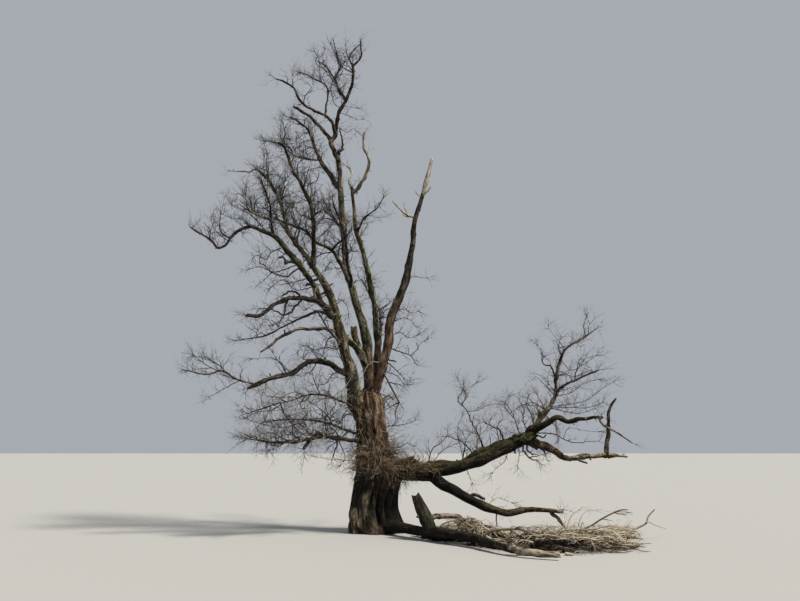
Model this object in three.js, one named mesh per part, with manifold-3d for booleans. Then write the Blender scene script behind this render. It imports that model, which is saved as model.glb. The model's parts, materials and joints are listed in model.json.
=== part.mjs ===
// A dead, many-stemmed field tree: a fluted trunk that forks low, four tall leaders, a heavy low limb
// reaching out to the right, a broken limb that droops from it, and the fallen limb with its brash
// lying at the foot. Millimetres, +Z up, seen from the front along +Y with +X to the right.
// The origin is the middle of the flat cut under the trunk, at ground level.

import * as THREE from 'three';
import { mergeVertices } from 'three/addons/utils/BufferGeometryUtils.js';
import Module from 'manifold-3d';

const wasm = await Module();
wasm.setup();

// Driving dimensions, in metres until they reach the geometry. A limb's rings are spaced by its width,
// and its wander and swell are shares of its radius.
const METRE = 1000;
const TOUCHING_GAP = 0.0003;
const FOOT_WIDTH = 2;
const WAIST_WIDTH = 1.04;
const FORK_HEIGHT = 4.75;
const TRUNK_SIDES = 22;
const TRUNK_DEPTH_RATIO = 0.9;
const FORK_CROWN = 0.15;
const FLARE_HEIGHT = 1.4;
const ROOT_LOBES = 5;
const ROOT_LOBE_TURN = 0.6;
const ROOT_LOBE_DEPTH = 0.13;
const ROOT_HOLLOW_SHARE = 0.3;
const FLUTES = 7;
const FLUTE_DEPTH = 0.035;
const FLUTE_TURN_PER_METRE = 0.9;
const BIG_LIMB = { width: 0.3, sides: 10 };
const MIDDLE_LIMB = { width: 0.14, sides: 7 };
const THIN_LIMB_SIDES = 5;
const RING_SPACING_WIDTHS = 3;
const MOST_RINGS = 11;
const MOST_RINGS_ON_THIN = 9;
const FEWEST_RINGS = 5;
const WANDER = 0.3;
const KNOT_SWELL = 0.08;
const TAPER_POWER = 0.85;
const FOOT_POINT_WIDTHS = 0.125;
const TIP_POINT_WIDTHS = 0.4;
const SAMPLES_ALONG = 400;
const WELD_MM = 0.001;

const BARK = new THREE.MeshStandardMaterial({ name: 'bark', color: 0x5a5246, roughness: 0.95 });
const MOSSY_BARK = new THREE.MeshStandardMaterial({ name: 'mossy_bark', color: 0x66663f, roughness: 0.95 });
const BARE_WOOD = new THREE.MeshStandardMaterial({ name: 'bare_wood', color: 0xa59a86, roughness: 0.85 });
const BRASH = new THREE.MeshStandardMaterial({ name: 'brash', color: 0x9a8c74, roughness: 0.95 });

// The trunk from the ground up: height, sideways lean of its middle, and width across the front.
const TRUNK_COURSE = [
  { height: 0, lean: 0, width: FOOT_WIDTH },
  { height: 0.2, lean: -0.05, width: 1.92 },
  { height: 0.45, lean: -0.11, width: 1.82 },
  { height: 0.8, lean: -0.14, width: 1.68 },
  { height: 1.2, lean: -0.09, width: 1.62 },
  { height: 1.6, lean: 0, width: 1.58 },
  { height: 2.0, lean: 0.02, width: 1.48 },
  { height: 2.4, lean: -0.04, width: 1.3 },
  { height: 2.8, lean: -0.13, width: 1.1 },
  { height: 3.2, lean: -0.17, width: WAIST_WIDTH },
  { height: 3.8, lean: -0.26, width: 1.08 },
  { height: 4.4, lean: -0.35, width: 1.14 },
  { height: FORK_HEIGHT, lean: -0.38, width: 0.85 },
];

// Every limb in the order in which it is joined on: its name, the limb that carries it, its width at
// the base and at the tip, its bark, and the places that it passes, as [across, back, up] in metres.
// The first place is moved onto the middle line of the limb that carries it.
const LIMBS = [
  // the four leaders and the crown's top
  limb('left_leader', 'trunk', 0.6, 0.24, BARK,
    [[-0.3, 0, 3.1], [-0.8, -0.2, 4.45], [-1.05, -0.5, 5.55], [-1.35, -0.7, 6.7], [-1.75, -0.8, 8.3],
      [-2.4, -0.7, 9.3]]),
  limb('middle_leader', 'trunk', 0.44, 0.17, MOSSY_BARK,
    [[-0.36, -0.1, 4.1], [-0.35, -0.15, 6.2], [-0.6, -0.1, 7.25], [-0.95, 0, 8.3], [-1.15, 0.05, 9.3],
      [-1.4, 0.1, 11.9], [-1.53, 0.1, 13.6]]),
  limb('back_leader', 'trunk', 0.34, 0.13, MOSSY_BARK,
    [[-0.3, 0.15, 4.1], [-0.06, 0.3, 6.1], [-0.1, 0.35, 7.15], [-0.4, 0.5, 9.3], [-0.85, 0.5, 10.8],
      [-1.02, 0.6, 12.4]]),
  limb('right_leader', 'trunk', 0.36, 0.12, BARK,
    [[-0.2, -0.1, 4.0], [0.13, -0.2, 5.4], [0.4, -0.3, 6.7], [0.62, -0.4, 7.75], [0.97, -0.4, 8.6],
      [1.17, -0.4, 9.6], [1.3, -0.4, 10.8], [1.65, -0.4, 12], [1.95, -0.4, 13.2]]),
  limb('upper_leader', 'middle_leader', 0.2, 0.08, BARK,
    [[-1.5, 0.1, 13.3], [-1.74, 0.1, 14], [-1.63, 0.1, 14.5], [-1.51, 0, 15.15], [-1.2, -0.1, 15.7],
      [-1.03, -0.1, 16.3], [-1, -0.1, 17.1]]),
  limb('crown_tip_right', 'upper_leader', 0.08, 0.04, BARK,
    [[-1, -0.1, 17], [-0.72, -0.2, 17.3], [-0.66, -0.3, 17.6], [-0.7, -0.35, 17.95]]),
  limb('crown_tip_left', 'upper_leader', 0.08, 0.04, BARK,
    [[-1, -0.1, 17], [-1.17, 0.15, 17.45], [-1.05, 0.3, 17.8], [-0.8, 0.4, 18.15]]),
  limb('crown_back_branch', 'upper_leader', 0.11, 0.04, BARK,
    [[-1.25, -0.1, 15.65], [-1.45, 0.4, 16.1], [-1.8, 1, 17.05], [-2.1, 1.4, 17.7],
      [-2.5, 1.8, 18.15]]),
  limb('crown_spray', 'crown_back_branch', 0.07, 0.03, BARK,
    [[-1.8, 1, 17.05], [-1.5, 0.6, 17.4], [-1.6, 0.4, 17.6], [-1.8, 0, 18.2]]),
  limb('crown_left_bough', 'upper_leader', 0.13, 0.05, BARK,
    [[-1.67, 0.1, 14.4], [-1.85, -0.2, 14.85], [-2.35, -0.8, 14.97], [-2.78, -1.3, 15.1],
      [-3, -1.6, 15.45], [-3.55, -2, 15.6]]),
  limb('crown_inner_branch', 'crown_left_bough', 0.09, 0.03, BARK,
    [[-1.95, -0.4, 14.9], [-2, 0, 15.5], [-2.02, 0.3, 16.4], [-2.6, 0.7, 16.9], [-3.1, 1, 17.3]]),
  limb('broken_spar', 'upper_leader', 0.13, 0.07, BARE_WOOD,
    [[-1.7, 0.1, 13.95], [-1.95, 0.3, 14.4], [-2.4, 0.6, 15], [-2.8, 0.9, 15.45], [-3.4, 1.3, 16]]),
  limb('high_left_bough', 'middle_leader', 0.17, 0.05, BARK,
    [[-1.47, 0.1, 12.2], [-1.9, 0.5, 12.95], [-2.4, 1.1, 13.9], [-2.8, 1.7, 15.1], [-3.2, 2.1, 15.7],
      [-3.75, 2.5, 16.08]]),
  limb('high_left_branch', 'high_left_bough', 0.08, 0.03, BARK,
    [[-2.3, 1, 13.7], [-2.6, 0.4, 13.5], [-3.1, -0.3, 13.4], [-3.5, -0.8, 13.6]]),
  // the left crown
  limb('long_left_bough', 'left_leader', 0.23, 0.13, MOSSY_BARK,
    [[-1.5, -0.75, 7.1], [-1.95, -1, 7.85], [-2.3, -1.2, 8.55], [-3, -1.4, 9.45], [-3.8, -1.55, 10.1],
      [-4.45, -1.6, 10.4]]),
  limb('long_left_hook', 'long_left_bough', 0.13, 0.05, BARK,
    [[-4.35, -1.6, 10.37], [-4.88, -1.7, 10.13], [-5.12, -1.78, 9.75], [-5.4, -1.8, 9.52],
      [-5.7, -1.9, 9.8], [-6.35, -2, 10.2]]),
  limb('fanned_left_bough', 'left_leader', 0.21, 0.07, MOSSY_BARK,
    [[-2.33, -0.72, 9.2], [-2.9, -0.3, 10], [-3.3, 0, 10.5], [-3.5, 0.1, 11.2], [-3.8, 0.3, 12.05],
      [-4.1, 0.5, 12.65], [-4.7, 0.8, 13.3]]),
  limb('bleached_left_spar', 'fanned_left_bough', 0.07, 0.04, BARE_WOOD,
    [[-4.65, 0.75, 13.25], [-5.05, 0.9, 13.22], [-5.8, 1.1, 13.3]]),
  limb('inner_left_bough', 'left_leader', 0.2, 0.06, MOSSY_BARK,
    [[-2.3, -0.73, 9.15], [-2.28, -1, 9.8], [-2.24, -1.3, 10.3], [-2.35, -1.7, 11.2],
      [-2.65, -1.8, 11.8], [-3.05, -2, 12.5], [-3.15, -2.1, 13.05], [-3.7, -2.2, 13.2]]),
  limb('rising_left_branch', 'long_left_bough', 0.1, 0.04, BARK,
    [[-3.55, -1.5, 9.9], [-3.65, -1.7, 10.45], [-3.7, -1.9, 11.1], [-3.95, -2.2, 11.8]]),
  limb('outer_left_branch', 'rising_left_branch', 0.09, 0.03, BARE_WOOD,
    [[-3.66, -1.75, 10.55], [-4.1, -2.2, 10.6], [-4.35, -2.35, 10.8], [-4.4, -2.5, 11.2]]),
  limb('crossing_bough', 'middle_leader', 0.17, 0.06, MOSSY_BARK,
    [[-1.05, 0, 8.65], [-1.3, -0.35, 9.2], [-1.6, -0.6, 9.7], [-2.25, -0.35, 10.15],
      [-2.7, -0.7, 10.5], [-3.6, -0.9, 10.8]]),
  limb('crossing_branch', 'crossing_bough', 0.09, 0.03, BARK,
    [[-1.7, -0.6, 9.75], [-1.45, -1, 9.85], [-1.25, -1.2, 10], [-0.9, -1.5, 10.2]]),
  // the side branches of the back and right leaders
  limb('back_leader_hook', 'back_leader', 0.14, 0.06, BARE_WOOD,
    [[-1.01, 0.6, 12.25], [-0.75, 0.5, 12.5], [-0.4, 0.3, 13.05], [-0.35, 0.2, 13.4],
      [-0.58, 0.1, 13.9], [-0.52, 0, 14.4]]),
  limb('back_leader_spar', 'back_leader', 0.1, 0.05, BARE_WOOD,
    [[-1.02, 0.6, 12.3], [-1.12, 0.9, 12.85], [-1.06, 1.1, 13.2], [-1.28, 1.3, 13.55]]),
  limb('back_leader_branch', 'back_leader', 0.1, 0.03, BARK,
    [[-0.85, 0.5, 10.7], [-0.55, 0.1, 11.1], [-0.1, -0.4, 11.35], [0.2, -0.9, 11.6]]),
  limb('right_leader_stub', 'right_leader', 0.08, 0.03, BARE_WOOD,
    [[1.33, -0.4, 11], [1.03, -0.6, 11.06], [0.75, -0.9, 11.22], [0.5, -1.1, 11.42]]),
  limb('rear_low_bough', 'back_leader', 0.14, 0.05, BARK,
    [[-0.05, 0.3, 6.3], [0.1, 1.1, 7.1], [-0.1, 2.2, 8.2], [-0.5, 3.2, 9], [-0.8, 3.9, 9.6]]),
  limb('rear_high_bough', 'middle_leader', 0.13, 0.04, BARK,
    [[-1.25, 0.08, 10.3], [-1.45, 1, 11], [-1.9, 2.2, 11.8], [-2.3, 3.2, 12.7]]),
  limb('front_high_bough', 'middle_leader', 0.12, 0.04, BARK,
    [[-1, 0.02, 8.5], [-1, -1.1, 9.1], [-1.1, -2.4, 9.9], [-1.4, -3.4, 10.7]]),
  // the lower left boughs
  limb('knobbly_bough', 'left_leader', 0.15, 0.09, BARK,
    [[-1.6, -0.78, 7.45], [-2.2, -1.5, 7.8], [-2.9, -2, 7.75], [-3.4, -2.2, 7.5], [-3.75, -2.4, 7.1],
      [-4.2, -2.6, 7.05]]),
  limb('twiggy_bough', 'left_leader', 0.12, 0.04, BARK,
    [[-1.5, -0.75, 7.15], [-2, -0.2, 7.65], [-2.7, 0.6, 7.55], [-3.5, 1.4, 7.35], [-4.5, 2.1, 7],
      [-5.6, 2.6, 6.95]]),
  limb('dead_left_bough', 'left_leader', 0.12, 0.07, BARE_WOOD,
    [[-1.4, -0.7, 6.85], [-1.9, -1.3, 6.85], [-2.7, -1.9, 6.7], [-3.2, -2.3, 6.35], [-3.7, -2.6, 5.9]]),
  limb('arching_bough', 'left_leader', 0.22, 0.11, BARK,
    [[-0.95, -0.4, 5.1], [-1.5, -0.9, 5.65], [-2.2, -1.2, 5.75], [-3, -1.5, 5.3], [-3.7, -1.65, 5.05],
      [-4.2, -1.8, 4.8]]),
  limb('arching_bough_tip', 'arching_bough', 0.09, 0.04, BARK,
    [[-4, -1.75, 4.9], [-4.6, -1.9, 5.07], [-5, -2.05, 5.33], [-5.45, -2.2, 5.2], [-6.05, -2.4, 5.3]]),
  limb('forward_bough', 'left_leader', 0.12, 0.04, BARK,
    [[-1.05, -0.5, 5.5], [-1.15, -1.4, 6.2], [-1.5, -2.4, 6.6], [-1.8, -3.5, 7]]),
  limb('flat_low_bough', 'trunk', 0.14, 0.05, BARK,
    [[-0.3, 0, 3.6], [-1.1, -0.8, 4.35], [-2, -1.4, 4.6], [-2.9, -1.9, 4.35], [-4.1, -2.3, 3.95]]),
  limb('drooping_low_bough', 'trunk', 0.19, 0.06, BARK,
    [[-0.2, 0, 2.95], [-1, -0.7, 3.1], [-1.9, -1.3, 3.2], [-3, -1.8, 3], [-4.1, -2.3, 3.15]]),
  limb('rear_left_low_bough', 'trunk', 0.14, 0.05, BARK,
    [[-0.2, 0.1, 3.1], [-1.1, 0.9, 3.45], [-2.2, 1.6, 3.8], [-3.3, 2.1, 3.9], [-4.3, 2.6, 3.8]]),
  limb('rear_right_low_bough', 'trunk', 0.08, 0.03, BARK,
    [[-0.25, 0.1, 4], [0.1, 1, 4.5], [0.35, 2, 4.75], [0.5, 3.1, 4.7]]),
  limb('hanging_right_branch', 'right_leader', 0.09, 0.05, MOSSY_BARK,
    [[0.14, -0.2, 5.5], [0.29, -0.35, 5.25], [0.5, -0.5, 4.84], [0.74, -0.7, 4.39]]),
  // the heavy low limb on the right and its broken ends
  limb('low_right_limb', 'trunk', 0.56, 0.36, MOSSY_BARK,
    [[0.1, 0, 2.07], [0.85, -0.1, 2.03], [1.5, -0.2, 2.02], [2.1, -0.35, 2.05], [2.8, -0.5, 2.2],
      [3.4, -0.6, 2.4], [4.6, -0.8, 2.97], [5.1, -0.85, 3.2]]),
  limb('low_right_ridge', 'low_right_limb', 0.34, 0.3, MOSSY_BARK,
    [[1, -0.1, 2.05], [1.65, -0.05, 2.15], [2.2, -0.15, 2.22], [2.85, -0.3, 2.36], [3.5, -0.42, 2.62],
      [4.1, -0.55, 2.86], [4.8, -0.65, 3.2], [5.25, -0.7, 3.42]]),
  limb('upswept_bough', 'low_right_ridge', 0.21, 0.11, BARK,
    [[5.15, -0.7, 3.4], [5.6, -0.75, 3.8], [5.9, -0.65, 4.15], [6.17, -0.5, 4.7], [6.2, -0.4, 5.2]]),
  limb('upswept_tip', 'upswept_bough', 0.11, 0.04, BARK,
    [[6.2, -0.42, 5.1], [6.27, -0.35, 5.55], [6.55, -0.3, 6.2], [7.2, -0.05, 6.63], [7.85, 0.3, 7.05]]),
  limb('upswept_side_branch', 'upswept_bough', 0.1, 0.05, BARE_WOOD,
    [[6.17, -0.5, 4.75], [6.4, -0.8, 4.93], [6.75, -1.2, 5.14], [7.3, -1.9, 5.34]]),
  limb('forward_right_bough', 'low_right_ridge', 0.19, 0.09, BARK,
    [[5.1, -0.68, 3.37], [5.4, -1, 3.47], [6.1, -1.45, 3.82], [6.3, -1.6, 3.69], [6.75, -1.9, 3.78],
      [7.25, -2.4, 3.78]]),
  limb('weeping_tip', 'forward_right_bough', 0.09, 0.04, BARE_WOOD,
    [[7.18, -2.35, 3.78], [7.27, -2.45, 3.59], [7.52, -2.55, 3.43], [7.87, -2.7, 3.15],
      [8.1, -2.8, 3]]),
  limb('rear_right_bough', 'low_right_limb', 0.22, 0.1, BARE_WOOD,
    [[5, -0.83, 2.98], [5.6, -0.6, 2.9], [6.2, -0.2, 2.66], [6.8, 0.3, 2.48], [7.4, 0.7, 2.54],
      [8.05, 1, 2.58], [9, 1.3, 2.5]]),
  limb('upright_snag', 'rear_right_bough', 0.16, 0.06, BARE_WOOD,
    [[8.22, 1, 2.6], [8.31, 1, 3.4], [8.38, 1, 4.2], [8.65, 1.1, 4.6]]),
  limb('drooping_broken_limb', 'low_right_limb', 0.44, 0.17, MOSSY_BARK,
    [[1.4, -0.3, 1.97], [1.8, -0.42, 1.78], [2.15, -0.58, 1.63], [2.65, -0.85, 1.31], [3.15, -1.1, 1.14],
      [4.02, -1.5, 0.82], [4.4, -1.65, 0.79], [4.78, -1.8, 0.88], [5.34, -2, 0.88], [5.85, -2.2, 0.84]]),
  limb('drooping_broken_end', 'drooping_broken_limb', 0.15, 0.06, BARK,
    [[5.5, -2.05, 0.87], [5.78, -2.2, 0.66], [5.92, -2.35, 0.43], [6.1, -2.5, 0.2]]),
  // the fallen limb at the foot
  limb('fallen_limb', 'trunk', 0.43, 0.15, BARE_WOOD,
    [[0.35, -0.4, 0.3], [1.1, -1.75, 0.3], [1.9, -2.95, 0.28], [2.8, -4.15, 0.26], [3.3, -5.1, 0.23],
      [3.75, -6, 0.18], [4.35, -6.65, 0.14], [4.85, -6.9, 0.12]]),
  limb('torn_slab', 'fallen_limb', 0.42, 0.28, BARE_WOOD,
    [[1.86, -2.62, 0.33], [1.74, -2.45, 0.7], [1.34, -2.12, 1.25]]),
  limb('fallen_branch', 'torn_slab', 0.19, 0.1, BARE_WOOD,
    [[1.66, -2.35, 0.6], [2.35, -2.25, 0.82], [3, -2.45, 0.66], [3.5, -2.8, 0.46], [3.9, -3.1, 0.36]]),
];

// The tangles of broken twigs round the fallen limb: the middle of each on the ground, its half
// length and half breadth, its height, and how far its long side is turned from the front.
const TANGLES = [
  { name: 'brash_behind_limb', middle: [2.9, -2.85], half: [1.75, 1], height: 0.72, turn: -0.72 },
  { name: 'brash_heap', middle: [5.7, -4], half: [1.9, 1.8], height: 0.62, turn: -0.2 },
  { name: 'brash_right_end', middle: [7.7, -2], half: [1.9, 1.3], height: 0.7, turn: 0.5 },
];
const TANGLE_RINGS = 4;
const TANGLE_SIDES = 13;
const TANGLE_UNEVEN = 0.28;
const TANGLE_ROUNDNESS = 0.7;
const TANGLE_PEAK = 1.15;
const TANGLE_GAPS = 4;

function limb(name, carrier, baseWidth, tipWidth, bark, course) {
  return { name, carrier, baseWidth, tipWidth, bark, course };
}

// A repeatable run of numbers from -1 to 1 for each name. The seed is given with the first of them.
function chanceFor(name) {
  let seed = [...name].reduce((sum, letter) => (sum * 31 + letter.charCodeAt(0)) >>> 0, 7);
  return () => {
    const chance = 2 * THREE.MathUtils.seededRandom(seed) - 1;
    seed = undefined;
    return chance;
  };
}

// Closes a stack of rings, each a list of points in the same turn, between two end points.
function closedSkin(rings, foot, tip) {
  const sides = rings[0].length;
  const points = [...rings.flat(), foot, tip];
  const footIndex = points.length - 2;
  const tipIndex = points.length - 1;
  const triangles = [];
  const last = (rings.length - 1) * sides;
  for (let side = 0; side < sides; side += 1) {
    const next = (side + 1) % sides;
    triangles.push(footIndex, next, side);
    triangles.push(tipIndex, last + side, last + next);
    for (let ring = 0; ring < rings.length - 1; ring += 1) {
      const here = ring * sides;
      const above = here + sides;
      triangles.push(here + side, here + next, above + next);
      triangles.push(here + side, above + next, above + side);
    }
  }
  const geometry = new THREE.BufferGeometry();
  const inMillimetres = points.flatMap((point) => point.clone().multiplyScalar(METRE).toArray());
  geometry.setAttribute('position', new THREE.Float32BufferAttribute(inMillimetres, 3));
  geometry.setIndex(triangles);
  return geometry;
}

function smoothCourse(course) {
  const places = course.map((place) => new THREE.Vector3(...place));
  return new THREE.CatmullRomCurve3(places, false, 'centripetal');
}

function nearestOn(curve, point) {
  const closer = (best, sample) => (sample.distanceTo(point) < best.distanceTo(point) ? sample : best);
  return curve.getSpacedPoints(SAMPLES_ALONG).reduce(closer);
}

// A tapering limb along a smooth course, slightly crooked and knotted, with a torn or budded tip.
function limbSkin(spec, curve, grow) {
  const chance = chanceFor(spec.name);
  const length = curve.getLength();
  const middleWidth = (spec.baseWidth + spec.tipWidth) / 2;
  const wanted = Math.round(length / (RING_SPACING_WIDTHS * middleWidth));
  const isThin = spec.baseWidth < MIDDLE_LIMB.width;
  const steps = THREE.MathUtils.clamp(wanted, FEWEST_RINGS, isThin ? MOST_RINGS_ON_THIN : MOST_RINGS);
  const sidesOfThick = spec.baseWidth < BIG_LIMB.width ? MIDDLE_LIMB.sides : BIG_LIMB.sides;
  const sides = isThin ? THIN_LIMB_SIDES : sidesOfThick;
  const frames = curve.computeFrenetFrames(steps, false);
  const rings = [];
  for (let step = 0; step <= steps; step += 1) {
    const along = step / steps;
    const width = THREE.MathUtils.lerp(spec.tipWidth, spec.baseWidth, (1 - along) ** TAPER_POWER);
    const radius = (width / 2) * (1 + KNOT_SWELL * chance()) + grow;
    const free = Math.sin(Math.PI * along);
    const middle = curve.getPointAt(along)
      .addScaledVector(frames.normals[step], WANDER * radius * free * chance())
      .addScaledVector(frames.binormals[step], WANDER * radius * free * chance());
    const ring = [];
    for (let side = 0; side < sides; side += 1) {
      const angle = (2 * Math.PI * side) / sides;
      ring.push(middle.clone()
        .addScaledVector(frames.normals[step], radius * Math.cos(angle))
        .addScaledVector(frames.binormals[step], radius * Math.sin(angle)));
    }
    rings.push(ring);
  }
  const footReach = FOOT_POINT_WIDTHS * spec.baseWidth + grow;
  const tipReach = TIP_POINT_WIDTHS * spec.tipWidth + grow;
  const foot = curve.getPointAt(0).addScaledVector(frames.tangents[0], -footReach);
  const tip = curve.getPointAt(1).addScaledVector(frames.tangents[steps], tipReach);
  return closedSkin(rings, foot, tip);
}

// The trunk: level rings from the flat cut up to the fork, fluted, and flaring into root lobes.
function trunkSkin(grow) {
  const rings = TRUNK_COURSE.map(({ height, lean, width }) => {
    const flare = Math.max(0, 1 - height / FLARE_HEIGHT) ** 2;
    const lobeDepth = ROOT_LOBE_DEPTH * flare;
    const ring = [];
    for (let side = 0; side < TRUNK_SIDES; side += 1) {
      const angle = (2 * Math.PI * side) / TRUNK_SIDES;
      const lobes = lobeDepth * (Math.cos(ROOT_LOBES * angle + ROOT_LOBE_TURN) - ROOT_HOLLOW_SHARE);
      const flutes = FLUTE_DEPTH * Math.cos(FLUTES * angle + FLUTE_TURN_PER_METRE * height);
      const radius = (width / 2) * (1 + lobes + flutes) + grow;
      const back = TRUNK_DEPTH_RATIO * radius * Math.sin(angle);
      ring.push(new THREE.Vector3(lean + radius * Math.cos(angle), back, height));
    }
    return ring;
  });
  const top = TRUNK_COURSE.at(-1);
  const crown = new THREE.Vector3(top.lean, 0, top.height + FORK_CROWN + grow);
  return closedSkin(rings, new THREE.Vector3(0, 0, 0), crown);
}

// A tangle: an uneven mound on the ground, flat underneath.
function tangleSkin(spec, grow) {
  const chance = chanceFor(spec.name);
  const outline = Array.from({ length: TANGLE_SIDES }, () => 1 + TANGLE_UNEVEN * chance());
  const rings = [];
  for (let ring = 0; ring < TANGLE_RINGS; ring += 1) {
    const inward = ring / TANGLE_RINGS;
    const points = [];
    for (let side = 0; side < TANGLE_SIDES; side += 1) {
      const angle = (2 * Math.PI * side) / TANGLE_SIDES;
      const before = outline[(side + TANGLE_SIDES - 1) % TANGLE_SIDES];
      const reach = ((outline[side] + before) / 2) * (1 - inward);
      const along = (spec.half[0] + grow) * reach * Math.cos(angle);
      const across = (spec.half[1] + grow) * reach * Math.sin(angle);
      const rise = (spec.height + grow) * Math.sin((Math.PI / 2) * inward) ** TANGLE_ROUNDNESS;
      const height = ring === 0 ? 0 : rise * (1 + TANGLE_UNEVEN * chance());
      points.push(new THREE.Vector3(
        spec.middle[0] + along * Math.cos(spec.turn) - across * Math.sin(spec.turn),
        spec.middle[1] + along * Math.sin(spec.turn) + across * Math.cos(spec.turn),
        height,
      ));
    }
    rings.push(points);
  }
  const [across, back] = spec.middle;
  const peak = new THREE.Vector3(across, back, (spec.height + grow) * TANGLE_PEAK);
  return closedSkin(rings, new THREE.Vector3(across, back, 0), peak);
}

function solidOf(geometry) {
  const joined = mergeVertices(geometry, WELD_MM);
  return new wasm.Manifold(new wasm.Mesh({
    numProp: 3,
    vertProperties: new Float32Array(joined.attributes.position.array),
    triVerts: new Uint32Array(joined.index.array),
  }));
}

function geometryOf(solid) {
  const cut = solid.getMesh();
  const geometry = new THREE.BufferGeometry();
  geometry.setAttribute('position', new THREE.BufferAttribute(new Float32Array(cut.vertProperties), 3));
  geometry.setIndex([...cut.triVerts]);
  return geometry;
}

function boxesMeet(first, second) {
  const a = first.boundingBox();
  const b = second.boundingBox();
  return [0, 1, 2].every((axis) => a.min[axis] <= b.max[axis] && b.min[axis] <= a.max[axis]);
}

// Cuts away what earlier pieces already fill, and keeps the largest body that is left.
function cutByEarlier(solid, earlier) {
  let left = solid;
  for (const other of earlier) {
    if (boxesMeet(left, other)) left = left.subtract(other);
  }
  return left.decompose().reduce((best, body) => (body.volume() > best.volume() ? body : best));
}

const tree = new THREE.Group();
const fattened = [];
const middleLines = new Map();

function addPiece(name, material, geometry) {
  const mesh = new THREE.Mesh(geometry, material);
  mesh.name = name;
  tree.add(mesh);
}

const trunkLine = TRUNK_COURSE.map(({ height, lean }) => [lean, 0, height]);
middleLines.set('trunk', smoothCourse(trunkLine));
fattened.push(solidOf(trunkSkin(TOUCHING_GAP)));
addPiece('trunk', BARK, trunkSkin(0));

for (const spec of LIMBS) {
  const start = nearestOn(middleLines.get(spec.carrier), new THREE.Vector3(...spec.course[0]));
  const curve = smoothCourse([start.toArray(), ...spec.course.slice(1)]);
  middleLines.set(spec.name, curve);
  const whole = solidOf(limbSkin(spec, curve, 0));
  addPiece(spec.name, spec.bark, geometryOf(cutByEarlier(whole, fattened)));
  fattened.push(solidOf(limbSkin(spec, curve, TOUCHING_GAP)));
}

for (const spec of TANGLES) {
  const mound = cutByEarlier(solidOf(tangleSkin(spec, 0)), fattened);
  addPiece(spec.name, BRASH, geometryOf(mound));
  fattened.push(solidOf(tangleSkin(spec, TANGLE_GAPS * TOUCHING_GAP)));
}

export default tree;
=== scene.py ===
import json
import math
import random

import bpy
import numpy as np
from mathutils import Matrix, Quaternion, Vector
from mathutils.bvhtree import BVHTree


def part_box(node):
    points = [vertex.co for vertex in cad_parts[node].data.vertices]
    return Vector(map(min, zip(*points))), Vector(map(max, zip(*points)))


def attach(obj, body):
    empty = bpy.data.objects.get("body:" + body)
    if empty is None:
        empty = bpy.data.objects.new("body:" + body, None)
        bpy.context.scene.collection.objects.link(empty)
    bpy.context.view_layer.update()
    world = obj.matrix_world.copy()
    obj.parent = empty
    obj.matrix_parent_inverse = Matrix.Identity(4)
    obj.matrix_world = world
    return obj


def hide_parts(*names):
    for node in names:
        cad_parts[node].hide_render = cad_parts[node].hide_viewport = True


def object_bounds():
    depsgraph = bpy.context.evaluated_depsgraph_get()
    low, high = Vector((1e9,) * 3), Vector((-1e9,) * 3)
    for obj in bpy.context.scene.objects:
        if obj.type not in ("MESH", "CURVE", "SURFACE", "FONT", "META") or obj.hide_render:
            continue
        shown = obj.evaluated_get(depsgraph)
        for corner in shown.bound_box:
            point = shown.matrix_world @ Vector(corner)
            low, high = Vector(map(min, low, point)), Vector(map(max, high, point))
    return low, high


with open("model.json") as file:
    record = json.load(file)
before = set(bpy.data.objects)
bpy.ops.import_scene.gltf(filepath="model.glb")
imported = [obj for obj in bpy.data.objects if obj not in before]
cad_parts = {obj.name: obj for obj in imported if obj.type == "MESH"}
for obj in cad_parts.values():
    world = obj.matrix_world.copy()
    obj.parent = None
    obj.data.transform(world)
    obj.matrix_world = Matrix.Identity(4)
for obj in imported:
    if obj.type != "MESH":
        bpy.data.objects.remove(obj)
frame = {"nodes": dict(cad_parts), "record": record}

cad_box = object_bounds()

# The view and the light. The viewer stands 28.6 m in front of the tree, a little above its foot, and
# looks up at it. One large soft lamp stands to the right, and a pale room fills the shadows.
VIEWER = (0.78, -28.6, 2.9)
VIEW_RISE = math.radians(10.2)
LENS_MM = 36.4

scene = bpy.context.scene
camera = bpy.data.objects.new("camera", bpy.data.cameras.new("camera"))
camera.data.lens = LENS_MM
camera.data.clip_end = 500
camera.location = VIEWER
camera.rotation_euler = (math.pi / 2 + VIEW_RISE, 0, 0)
scene.collection.objects.link(camera)
scene.camera = camera
scene.view_settings.view_transform = "Standard"


PHOTO_MIDDLE = (400, 300.5)
FOCAL_PIXELS = LENS_MM / 36 * 800


def seen(pixel, depth):
    """The place at this depth that the viewer sees at this pixel."""
    up = (PHOTO_MIDDLE[1] - pixel[1]) / FOCAL_PIXELS
    across = (pixel[0] - PHOTO_MIDDLE[0]) / FOCAL_PIXELS
    far = (depth - VIEWER[1]) / (math.cos(VIEW_RISE) - up * math.sin(VIEW_RISE))
    rise = math.sin(VIEW_RISE) + up * math.cos(VIEW_RISE)
    return np.array([VIEWER[0] + across * far, depth, VIEWER[2] + rise * far])


def pixels_of(line):
    """Where the viewer sees each place of a line."""
    off = line - np.array(VIEWER)
    far = off[:, 1] * math.cos(VIEW_RISE) + off[:, 2] * math.sin(VIEW_RISE)
    up = off[:, 2] * math.cos(VIEW_RISE) - off[:, 1] * math.sin(VIEW_RISE)
    return np.stack([PHOTO_MIDDLE[0] + FOCAL_PIXELS * off[:, 0] / far,
                     PHOTO_MIDDLE[1] - FOCAL_PIXELS * up / far], axis=-1)


def linear(hex_colour):
    channels = [int(hex_colour[i:i + 2], 16) / 255 for i in (1, 3, 5)]
    return tuple(c / 12.92 if c <= 0.04045 else ((c + 0.055) / 1.055) ** 2.4 for c in channels) + (1.0,)


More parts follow.
